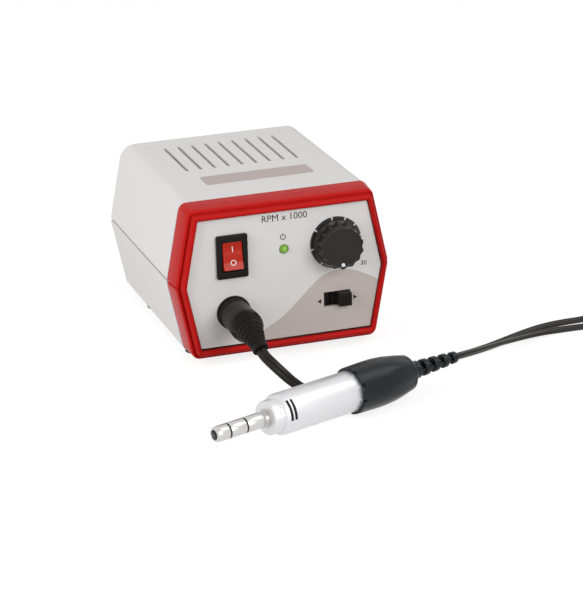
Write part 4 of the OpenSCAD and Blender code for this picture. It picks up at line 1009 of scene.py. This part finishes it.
class MICROMOTOR_OT_housing(bpy.types.Operator):
    """Upper shell with its vents, lower shell, feet and the bare plate on the top"""

    bl_idname = "micromotor.housing"
    bl_label = "Housing"

    def execute(self, context):
        sizes = context.scene.micromotor_sizes
        self.upper(sizes)
        dress(finish("housing"), "lower_housing", "rear_panel")
        dress(finish("rubber"), "rubber_feet")
        dress(finish("steel"), "case_screws")
        section = rounded([(0.9, 0.05), (0.0, 0.05), (0.0, 0.45), (0.9, 0.45)], 0.3)
        rings = np.stack([
            np.insert(frame_line(58 - 2 * i, 13.5 - 2 * i, 1.2), 2, h, axis=1) for i, h in section
        ])
        rings = rings + BOX_AT + np.array([1.0, 47.2, BOX_TOP])
        piece("top_badge", *skin(rings), finish("badge"), "housing")
        return {"FINISHED"}

    def ring(self, y, inset, sizes):
        """Closed section of the upper shell at y: the outer line drawn in by inset, then the inner one."""
        share = np.clip((y - SHELL_FRONT) / (SHELL_BACK - SHELL_FRONT), 0, 1)
        radius = sizes.edge_front / MM * (1 - share) + sizes.edge_back / MM * share
        low = PARTING + SEAM
        lines = []
        for draw, bevel in ((inset, PARTING_BEVEL), (WALL, 0.0)):
            line = outline(draw, radius)
            line = line[line[:, 1] > low + 0.6]
            side = line[[0, -1]].copy()
            side[:, 1] = low + bevel + 0.01
            foot = side - np.array([[bevel, 0], [-bevel, 0]])
            foot[:, 1] = low
            lines.append(np.concatenate([foot[:1], side[:1], line, side[1:], foot[1:]]))
        return np.concatenate([lines[0], lines[1][::-1]])

    def upper(self, sizes):
        """The upper shell: its section carried from front to back with soft edges, less the vents."""
        front = rounded([(0.5, SHELL_FRONT), (0.0, SHELL_FRONT), (0.0, SHELL_FRONT + 0.35)], 0.7)
        back = rounded([(0.0, SHELL_BACK - 0.6), (0.0, SHELL_BACK), (1.2, SHELL_BACK)], 0.7)
        middle = [(0.0, y) for y in np.linspace(30, 118, 9)]
        section = [*front, *middle, *back]
        rings = np.stack([np.insert(self.ring(y, i, sizes), 1, y, axis=1) for i, y in section]) + BOX_AT
        shell = piece(
            "upper_shell", *skin(rings), finish("housing"), "housing", stands_for=("upper_housing",),
        )
        width = sizes.vent_width / MM
        line = frame_line(width, sizes.vent_length / MM, width / 2)
        rings = np.stack([np.insert(line, 2, z, axis=1) for z in (BOX_TOP - 5.4, BOX_TOP + 4.6)]) + BOX_AT
        slots = []
        for i in range(sizes.vents):
            x = (i - (sizes.vents - 1) / 2) * sizes.vent_pitch / MM
            slots.append(skin(rings + np.array([x, VENT_MIDDLE, 0])))
        cutter = piece("vent_cutter", *joined(*slots), finish("housing"), "housing")
        cut = shell.modifiers.new("vents", "BOOLEAN")
        cut.object = cutter
        cut.operation = "DIFFERENCE"
        cut.solver = "EXACT"
        bpy.context.view_layer.update()
        graph = bpy.context.evaluated_depsgraph_get()
        mesh = bpy.data.meshes.new_from_object(shell.evaluated_get(graph))
        shell.modifiers.clear()
        shell.data = mesh
        mesh.set_sharp_from_angle(angle=math.radians(30))
        bpy.data.objects.remove(cutter)


class MICROMOTOR_OT_bezel(bpy.types.Operator):
    """Red bezel: one moulded section carried round the six-sided outline, deeper along the bottom"""

    bl_idname = "micromotor.bezel"
    bl_label = "Bezel"

    def execute(self, context):
        flank = [(0.0, BEZEL_DEPTH), (1.1, 4.4), (1.55, 3.4)]
        groove = [(2.1, 3.0), (2.4, 3.8), (3.0, 3.8)]
        rim = [(3.3, 0.1), (3.65, -0.75), (4.3, -1.0), (5.0, -0.9), (5.6, -0.3)]
        ledge = [(5.8, 3.5), (BEZEL_WIDTH, 3.5), (BEZEL_WIDTH, 5.4), (4.7, 6.4)]
        tongue = [(4.7, TONGUE_END), (2.7, TONGUE_END), (2.7, BEZEL_DEPTH)]
        section = rounded_loop(flank + groove + rim + ledge + tongue, 0.32, 3)
        dents = np.where((section[:, 0] < 1.6) & (section[:, 1] > 3.2), PARTING_DENT, 0.0)
        rings = np.stack([
            np.insert(outline(inset, BEZEL_CORNER, dent, BEZEL_LOW_CORNER), 1, y, axis=1)
            for (inset, y), dent in zip(section, dents)
        ])
        piece(
            "bezel_moulding", *skin(self.lowered(rings), loop=True), finish("bezel"), "bezel",
            stands_for=("front_bezel",), sharp=32,
        )
        # A thin dark lip inside the rim: painted shade, standing for the shadow in the gap between the panel
        # and the bezel
        lip = rounded_loop([(5.7, 3.6), (5.7, 0.9), (6.0, 1.0), (6.3, 3.6)], 0.12, 2)
        rings = np.stack([
            np.insert(outline(inset, BEZEL_CORNER, 0.0, BEZEL_LOW_CORNER), 1, y, axis=1) for inset, y in lip
        ])
        piece("panel_painted_shade_lip", *skin(self.lowered(rings), loop=True), finish("painted_shade_lip"), "bezel")
        return {"FINISHED"}

    def lowered(self, rings):
        """Rings whose lowest part is drawn down, most at the outside and at the front."""
        low = np.clip(1 - rings[:, :, 2] / BEZEL_WIDTH, 0, None)
        ahead = np.clip((BEZEL_DEPTH - rings[:, :, 1]) / (BEZEL_DEPTH - 4), 0, 1)
        drop = np.zeros_like(rings)
        drop[:, :, 2] = BEZEL_DROP * low * ahead
        return rings - drop + BOX_AT


class MICROMOTOR_OT_panel(bpy.types.Operator):
    """Printed film on the front panel, with its generic marks"""

    bl_idname = "micromotor.panel"
    bl_label = "Panel"

    def execute(self, context):
        dress(finish("film"), "front_panel")
        front = (0, -1, 0)
        up = (0, 0, 1)
        for name, text, size, x, z in (
            ("speed_print", "RPM x 1000", 5.0, 0.6, 71.0),
            ("scale_print", "30", 3.4, 42.9, 40.8),
        ):
            middle = BOX_AT + np.array([x, INK_Y, z])
            lettering(name, text, size, middle, front, up, finish("ink"), "panel", 0.03)
        a = np.radians(np.linspace(35, 325, 40))
        ring = np.stack([np.sin(a), np.cos(a)], -1)
        open_ring = np.concatenate([ring * 1.55, (ring * 1.15)[::-1]])
        bar = np.array([[-0.2, 0.3], [0.2, 0.3], [0.2, 1.9], [-0.2, 1.9]])
        arrow = np.array([[-1.1, 0.0], [0.9, 1.3], [0.9, -1.3]])
        self.mark("power_print", -0.4, 60.6, open_ring, bar)
        self.mark("left_print", 18.4, 22.9, arrow)
        self.mark("right_print", 37.8, 22.9, -arrow)
        return {"FINISHED"}

    def mark(self, name, x, z, *shapes):
        """Outlines drawn flat on the film about a place on it."""
        parts = []
        for shape in shapes:
            rings = np.stack([np.insert(shape, 1, y, axis=1) for y in (0.04, -0.04)])
            parts.append(skin(rings + BOX_AT + np.array([x, INK_Y, z])))
        piece(name, *joined(*parts), finish("ink"), "panel")


class MICROMOTOR_OT_switch(bpy.types.Operator):
    """Power switch: frame, rocker and its two signs"""

    bl_idname = "micromotor.switch"
    bl_label = "Power Switch"

    def execute(self, context):
        middle = np.array([-COLUMN, 0.0, UPPER_ROW])
        section = rounded_loop([
            (0.0, PANEL_Y), (0.0, -0.4), (0.3, -0.7), (2.6, -0.7), (2.8, -0.4), (2.8, 10.5), (1.5, 18.3),
            (1.5, PANEL_Y),
        ], 0.25, 3)

        def line(inset):
            """Rectangle drawn in by inset, and further at its short sides inside the frame."""
            tall = 23 - 2 * inset * (3.625 / 2.8 if inset > 1.6 else 1.0)
            return frame_line(16.5 - 2 * inset, tall, 1.0 - 0.25 * inset)

        rings = stacked(section, line) + middle
        piece(
            "switch_frame", *skin(rings, loop=True), finish("black"), "black_plastic",
            stands_for=("switch_body",),
        )
        self.rocker(middle)
        dress(finish("brass"), "switch_terminals")
        return {"FINISHED"}

    def rocker(self, middle):
        """Profile in depth and height, hollowed on both pressing faces, carried across the width; the ends
        draw in to round the edges. It is turned so that its upper half is pressed in."""
        end = 7.2
        share = np.linspace(-1, 1, 41)
        depth = -(3.5 + 0.7 * np.abs(share) ** 1.6 - 0.28 * np.sin(np.pi * np.abs(share)) ** 2)
        face = np.stack([depth, end * share], -1)
        half = np.array([[0.5, end], [2.5, 5.2], [4.0, 2.2], [6.0, 1.4]])
        back = np.concatenate([half, half[::-1] * np.array([1, -1])])
        profile = rounded_loop(np.concatenate([face, back]), 0.5, 3)
        hub = profile.mean(0)
        edge = [(4.5, 1.0), (4.8, 0.995), (5.02, 0.975), (5.1, 0.94)]
        places = [(-x, k) for x, k in edge[::-1]] + edge
        rings = np.stack([np.insert(hub + (profile - hub) * k, 0, x, axis=1) for x, k in places])
        tilt = math.radians(-10)
        turn = np.array(Matrix.Rotation(tilt, 3, "X"))
        at = BOX_AT + middle + np.array([0, 2.5, 0])
        piece(
            "rocker_cap", *skin(rings @ turn.T + at), finish("rocker"), "rocker", "rocker",
            ("switch_rocker",), sharp=50,
        )
        normal = turn @ np.array([0, -1, 0])
        up = turn @ np.array([0, 0, 1])
        for name, text, height in (("on_print", "I", 3.4), ("off_print", "O", -3.6)):
            spot = at + turn @ np.array([0, -3.63, height])
            lettering(name, text, 4.2, spot, normal, up, finish("white_ink"), "rocker", 0.12, "rocker")


class MICROMOTOR_OT_lamp(bpy.types.Operator):
    """Lit pilot lamp"""

    bl_idname = "micromotor.lamp"
    bl_label = "Pilot Lamp"

    def execute(self, context):
        radius = 2.5
        flange = 2.9
        a = np.linspace(0.02, np.pi / 2, 14)
        dome = np.stack([2.2 - radius * np.cos(a), radius * np.sin(a)], -1)
        body = [(7.3, radius), (7.3, flange), (8.3, flange)]
        rings = front_turned(np.concatenate([dome, body]), 0.0, UPPER_ROW, 48)
        piece("lamp_lens", *skin(rings), finish("lamp"), "lamp", stands_for=("pilot_led",))
        dress(finish("black"), "led_clip")
        return {"FINISHED"}


class MICROMOTOR_OT_knob(bpy.types.Operator):
    """Speed knob with its flutes and pointer, spindle, nut and potentiometer"""

    bl_idname = "micromotor.knob"
    bl_label = "Speed Knob"

    def execute(self, context):
        sizes = context.scene.micromotor_sizes
        radius = sizes.knob / MM / 2
        count = sizes.flutes
        top = -10.1
        skirt = [(0.5, 3.2), (0.5, radius + 0.8), (-0.6, radius + 0.8), (-1.4, radius)]
        rim = [(top + 0.7, radius - 0.1), (top, radius - 0.7), (top, radius - 1.5)]
        face = [(top + 0.3, radius - 1.9), (top + 0.3, 0.05)]
        outer = rounded(skirt + rim + face, 0.5, 5)

        def fluted(y, r, a):
            """Radius less round flutes: the near wall of a circle centred outside the rim, where it cuts."""
            hub = radius + 1.7
            cut = radius * 0.25
            phi = from_middle(a, count)
            inside = np.maximum(cut ** 2 - (hub * np.sin(phi)) ** 2, 0)
            wall = np.where(inside > 0, hub * np.cos(phi) - np.sqrt(inside), r)
            fade = np.clip((-0.9 - y) / 0.8, 0, 1)
            return r - np.maximum(r - wall, 0) * fade

        rings = front_turned(outer, COLUMN, UPPER_ROW, 14 * count, fluted)
        piece(
            "knob_moulding", *skin(rings), finish("knob"), "black_plastic", "speed_control",
            ("speed_knob",), sharp=45,
        )
        dot = rounded([(top + 0.3, 0.95), (top - 0.06, 0.95), (top - 0.06, 0.02)], 0.1, 3)
        rings = front_turned(dot, COLUMN, UPPER_ROW - 8.9, 32)
        piece("knob_pointer", *skin(rings), finish("white_ink"), "black_plastic", "speed_control")
        dress(finish("steel"), "pot_body", "pot_shaft", "pot_nut")
        return {"FINISHED"}


class MICROMOTOR_OT_slide(bpy.types.Operator):
    """Direction slide: its slider and the shell behind the window"""

    bl_idname = "micromotor.slide"
    bl_label = "Direction Slide"

    def execute(self, context):
        at = np.array([COLUMN + 3.35, 0.0, LOWER_ROW])
        knob = rounded([(0.7, -2.7), (0.0, -2.7), (0.0, 3.66), (-2.5, 3.66)], 0.35, 3)
        flange = [(-2.5, 4.85), (0.2, 4.85)]
        edge = rounded([(0.25, -2.95), (0.0, -2.95), (0.0, -2.6)], 0.2, 3)

        def line(inset):
            """Rectangle drawn in by inset; the flange behind it grows less in height than in width."""
            tall = 7.3 - 2 * inset if inset >= 0 else 7.3 - 2 * inset * 1.35 / 2.5
            return frame_line(7.0 - 2 * inset, tall, 0.5)

        def ridge(inset):
            """One upright ridge of the grip, drawn in by inset."""
            return frame_line(0.7 - 2 * inset, 6.0 - 2 * inset, 0.2)

        parts = [skin(stacked([*knob, *flange], line) + at)]
        for x in (-2.1, -0.7, 0.7, 2.1):
            parts.append(skin(stacked(edge, ridge) + at + np.array([x, 0, 0])))
        piece(
            "slider_moulding", *joined(*parts), finish("black"), "black_plastic", "direction",
            ("direction_slider",),
        )
        dress(finish("black"), "direction_switch")
        return {"FINISHED"}


class MICROMOTOR_OT_plug(bpy.types.Operator):
    """Round plug with finger hollows, and its ribbed boot"""

    bl_idname = "micromotor.plug"
    bl_label = "Plug"

    def execute(self, context):
        grip = 8.6
        rear = PLUG_END[1]
        profile = rounded([
            (0.1, 0.05), (0.1, 8.4), (-2.9, 8.4), (-3.3, 8.0), (-10.7, 8.1), (-17.4, 8.5), (-20.4, grip),
            (-22.6, 8.4), (-24.7, 7.8), (rear, BOOT_RADIUS), (rear, 0.05),
        ], 0.5, 5)

        def hollowed(y, r, a):
            """Radius less five finger hollows: spheres whose middles stand outside the grip."""
            phi = from_middle(a, 5)
            hub = grip + 2.6
            along = y + 25.3
            inside = 4.5 ** 2 - along ** 2 - (hub * np.sin(phi)) ** 2
            wall = np.where(inside > 0, hub * np.cos(phi) - np.sqrt(np.maximum(inside, 0)), r)
            return np.where(r > 4, np.minimum(r, wall), r)

        rings = front_turned(self.fine(profile), -COLUMN, LOWER_ROW, 120, hollowed)
        piece("plug_grip", *skin(rings), finish("plug"), "plug", stands_for=("plug_body",), sharp=40)
        self.boot()
        dress(finish("black"), "output_socket")
        dress(finish("steel"), "socket_nut")
        dress(finish("brass"), "plug_pins")
        return {"FINISHED"}

    def fine(self, profile):
        """The profile with points every third of a millimetre, so that a hollow has a clean edge."""
        steps = np.linalg.norm(np.diff(profile, axis=0), axis=1)
        place = np.concatenate([[0], np.cumsum(steps)])
        dense = np.unique(np.concatenate([place, np.arange(0, place[-1], 0.33)]))
        return np.stack([np.interp(dense, place, profile[:, i]) for i in range(2)], -1)

    def boot(self):
        """Ribs that step down: a section that changes from a circle to the oblong of the cord's mouth."""
        ribs = 5
        ribbed = 14.0
        mouth = 4.3
        step = ribbed / ribs
        fall = (BOOT_RADIUS - mouth + 0.4) / ribs
        rows = [(-1.0, BOOT_RADIUS - 0.4)]
        for i in range(ribs):
            s = i * step
            r = BOOT_RADIUS - i * fall
            rows += [(s, r), (s + step * 0.62, r - 0.1)]
            rows += [(s + step * 0.68, r - 0.8), (s + step * 0.97, r - 0.8)]
        rows += [(ribbed, mouth), (BOOT_LENGTH - 0.3, mouth - 0.1), (BOOT_LENGTH, mouth - 0.4)]
        profile = rounded(rows, 0.3, 3)
        a = np.linspace(0, 2 * np.pi, 72, endpoint=False)
        s = profile[:, 0][:, None]
        wide = np.broadcast_to(profile[:, 1][:, None], (len(profile), len(a)))
        high = wide * (1 - 0.36 * np.clip((s - 4) / 10, 0, 1))
        turn = math.radians(MOUTH_ROLL)
        x = wide * np.cos(a) * math.cos(turn) - high * np.sin(a) * math.sin(turn)
        v = wide * np.cos(a) * math.sin(turn) + high * np.sin(a) * math.cos(turn)
        down = math.cos(PLUG_DROOP), math.sin(PLUG_DROOP)
        y = -s * down[0] - v * down[1]
        z = -s * down[1] + v * down[0]
        rings = np.stack([x, y, z], -1) + BOX_AT + PLUG_END
        piece("plug_ribs", *skin(rings), finish("plug"), "plug", stands_for=("plug_boot",), sharp=40)


# Radius of the stem, the stations of its two grooves, and the radii of the sleeve
STEM_RADIUS = 3.95
STEM_GROOVES = (7.0, 17.0)
SLEEVE_RADIUS = 10.25
SLEEVE_BORE = 9.05


class MICROMOTOR_OT_handpiece(bpy.types.Operator):
    """Motor handpiece: stem and rings, collar, sleeve, rear cap and strain relief"""

    bl_idname = "micromotor.handpiece"
    bl_label = "Handpiece"

    def execute(self, context):
        self.stem()
        self.sleeve()
        self.cap()
        self.relief()
        dress(finish("steel"), "rotor_shaft", "drive_dog", "bearings")
        dress(finish("iron"), "armature", "magnets")
        dress(finish("copper"), "armature_coils", "commutator")
        dress(finish("bakelite"), "brush_holder")
        dress(finish("carbon"), "brushes")
        dress(finish("brass"), "brush_springs")
        return {"FINISHED"}

    def stem(self):
        """Stem: a tube with two grooves, each with a rubber ring, and a stepped root in the collar."""
        outer = [(0.0, 2.5), (0.0, 3.0), (0.6, 3.6), (2.2, STEM_RADIUS)]
        for groove in STEM_GROOVES:
            outer += [(groove, STEM_RADIUS), (groove, 3.25), (groove + 1, 3.25), (groove + 1, STEM_RADIUS)]
        outer += [(28.4, STEM_RADIUS), (28.5, 3.8), (28.8, 3.8), (28.9, STEM_RADIUS), (STEM_END, STEM_RADIUS)]
        outer += [(STEM_END, 4.45), (32.0, 4.45), (32.0, 5.15), (34.0, 5.15), (34.0, 2.5)]
        profile = rounded_loop(outer, 0.12, 2)
        piece(
            "stem_tube", *skin(turned(profile), loop=True), finish("nickel"), "nickel",
            stands_for=("coupling_stem",),
        )
        rings = []
        a = np.linspace(0, 2 * np.pi, 16, endpoint=False)
        for groove in STEM_GROOVES:
            loop = np.stack([groove + 0.5 + 0.44 * np.cos(a), 3.55 + 0.3 * np.sin(a)], -1)
            rings.append(skin(turned(loop), loop=True))
        piece("grip_rings", *joined(*rings), finish("rubber"), "rubber", stands_for=("stem_rings",))

    def sleeve(self):
        """Collar, the sleeve with its round shoulder, and two dark strokes printed on it."""
        collar = rounded_loop([
            (STEM_END, 4.5), (STEM_END, 7.8), (31.2, 8.5), (35.5, 8.5), (35.5, 9.0), (43.5, 9.0), (43.5, 5.6),
            (32.0, 5.6), (32.0, 4.5),
        ], 0.25, 3)
        piece(
            "collar_ring", *skin(turned(collar), loop=True), finish("sleeve"), "aluminium",
            stands_for=("front_collar",),
        )
        a = np.radians(np.linspace(0, 90, 10))
        shoulder = np.stack([36.1 + 3 * (1 - np.cos(a)), 8.8 + (SLEEVE_RADIUS - 8.8) * np.sin(a)], -1)
        front = [(SLEEVE_START, 7.5), (SLEEVE_START, 8.8)]
        back = [(86.0, SLEEVE_RADIUS), (86.0, SLEEVE_BORE), (36.5, SLEEVE_BORE), (36.5, 7.5)]
        profile = rounded_loop(np.concatenate([front, shoulder, back]), 0.12, 2)
        piece(
            "sleeve_tube", *skin(turned(profile), loop=True), finish("sleeve"), "aluminium",
            stands_for=("motor_sleeve",),
        )
        b = np.linspace(-0.52, 0.52, 16) - 1.1
        spoke = np.cos(b)[:, None] * UP + np.sin(b)[:, None] * ACROSS
        low, high = SLEEVE_RADIUS - 0.15, SLEEVE_RADIUS + 0.03
        marks = []
        for station in (38.5, 40.9):
            edges = ((station, low), (station, high), (station + 1.5, high), (station + 1.5, low))
            marks.append(skin(np.stack([TIP + s * ALONG + r * spoke for s, r in edges], 1)))
        piece("sleeve_marks", *joined(*marks), finish("ink"), "aluminium")

    def cap(self):
        """Barrel whose radius falls with the station to the power 4 and swells by a half sine; its rim has
        notches, and flats grow round it towards the back."""
        flats = 9
        edge = 1.8
        bore = 10.3
        u = np.linspace(0, 1, 40)
        span = CAP_END - edge - CAP_START
        barrel = np.stack([CAP_START + span * u, 11.75 - 2.4 * u ** 4 + 0.4 * np.sin(np.pi * u)], -1)
        a = np.radians(np.linspace(10, 90, 9))
        nose = np.stack([CAP_END - edge + edge * np.sin(a), 9.35 - edge * (1 - np.cos(a))], -1)
        inner = [(CAP_END, 4.05), (117, 4.05), (117, 6.95), (116, 7.95), (94, bore), (CAP_START, bore)]
        profile = np.concatenate([barrel, nose, inner])

        def shaped(s, r, angle):
            """Radius less the flats, which grow with the station, and less the notches in the rim."""
            phi = from_middle(angle, flats)
            share = np.clip((s - 100) / 14, 0, 1) * np.clip((CAP_END - 1 - s) / 3, 0, 1)
            facet = r * (1 - share) + r * share * np.minimum(0.968 / np.cos(phi), 1.0)
            notch = (np.abs(phi) < 0.15 * np.pi / flats) & (s < CAP_START + 1.2) & (r > bore + 0.05)
            return np.where(notch, np.minimum(r, 10.75), np.where(r > 8.2, facet, r))

        rings = turned(profile, 180, shaped)
        piece("cap_barrel", *skin(rings, loop=True), finish("cap"), "cap", stands_for=("rear_cap",), sharp=40)

    def relief(self):
        """Strain relief: a stepped base, a core, three discs that a flat web joins, and an end."""
        pole = 0.05
        base = rounded([
            (115.0, pole), (115.0, 5.5), (117.0, 5.5), (117.0, 4.0), (CAP_END, 4.0), (CAP_END, 6.3),
            (122.0, 6.3), (122.6, 5.7), (122.6, 4.6), (126.2, 4.6), (126.8, 4.0), (126.8, pole),
        ], 0.35, 3)
        core = rounded([(126.5, pole), (126.5, 1.9), (150.5, 1.9), (150.5, pole)], 0.3, 3)
        end = rounded([(148.5, pole), (148.5, 3.1), (RELIEF_END, 3.0), (RELIEF_END, pole)], 0.4, 3)
        parts = [skin(turned(base, 64)), skin(turned(core, 48)), skin(turned(end, 48))]
        thick = 3.1
        bevel = 0.3
        for i in range(3):
            near = 129.3 + 6.4 * i
            far = near + thick
            r = 4.25 - 0.35 * i
            disc = rounded([
                (near, pole), (near, r - bevel), (near + bevel, r),
                (far - bevel, r), (far, r - bevel), (far, pole),
            ], 0.15, 3)
            parts.append(skin(turned(disc, 64)))
            line = frame_line(2 * r - 1.6, 1.6, 0.25, 2)
            flat = line[:, :1] * ACROSS + line[:, 1:] * UP
            parts.append(skin(np.stack([TIP + s * ALONG + flat for s in (near - 3.4, near + 0.8)])))
        piece("relief_comb", *joined(*parts), finish("cap"), "cap", stands_for=("tail_relief",), sharp=40)


class MICROMOTOR_OT_inside(bpy.types.Operator):
    """Finishes of the pieces inside the box and at its rear"""

    bl_idname = "micromotor.inside"
    bl_label = "Inside and Rear"

    def execute(self, context):
        dress(finish("iron"), "transformer_core")
        dress(finish("copper"), "transformer_coil")
        dress(finish("steel"), "transformer_strap", "transformer_screws", "board_screws", "mode_switch")
        dress(finish("board"), "circuit_board")
        dress(finish("aluminium"), "heat_sink", "fuse")
        dress(finish("can"), "filter_capacitor")
        dress(finish("black"), "power_transistor", "bridge_rectifier")
        dress(finish("black"), "fuse_holder", "fuse_cap", "pedal_socket", "mode_slider")
        dress(finish("rubber"), "mains_gland")
        return {"FINISHED"}


STEPS = (
    MICROMOTOR_OT_stage,
    MICROMOTOR_OT_plug,
    MICROMOTOR_OT_cord,
    MICROMOTOR_OT_housing,
    MICROMOTOR_OT_bezel,
    MICROMOTOR_OT_panel,
    MICROMOTOR_OT_switch,
    MICROMOTOR_OT_lamp,
    MICROMOTOR_OT_knob,
    MICROMOTOR_OT_slide,
    MICROMOTOR_OT_handpiece,
    MICROMOTOR_OT_inside,
)


class MICROMOTOR_PT_panel(bpy.types.Panel):
    """Lists the steps and the settings"""

    bl_idname = "MICROMOTOR_PT_panel"
    bl_label = "Micromotor"
    bl_space_type = "VIEW_3D"
    bl_region_type = "UI"
    bl_category = "Micromotor"

    def draw(self, context):
        scene = context.scene
        for step in STEPS:
            self.layout.operator(step.bl_idname)
        for group in (scene.micromotor_sizes, scene.micromotor_finishes, scene.micromotor_stage):
            box = self.layout.box()
            for key in group.__annotations__:
                box.prop(group, key)


CLASSES = (MicromotorFinishes, MicromotorSizes, MicromotorStage, *STEPS, MICROMOTOR_PT_panel)


def register():
    """Adds the classes, and the settings to each scene."""
    for item in CLASSES:
        bpy.utils.register_class(item)
    bpy.types.Scene.micromotor_finishes = PointerProperty(type=MicromotorFinishes)
    bpy.types.Scene.micromotor_sizes = PointerProperty(type=MicromotorSizes)
    bpy.types.Scene.micromotor_stage = PointerProperty(type=MicromotorStage)


def unregister():
    """Takes the settings and the classes away again."""
    del bpy.types.Scene.micromotor_stage
    del bpy.types.Scene.micromotor_sizes
    del bpy.types.Scene.micromotor_finishes
    for item in reversed(CLASSES):
        bpy.utils.unregister_class(item)


def main():
    """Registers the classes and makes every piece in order."""
    register()
    for step in STEPS:
        group, name = step.bl_idname.split(".")
        getattr(getattr(bpy.ops, group), name)()


if __name__ == "__main__":
    main()
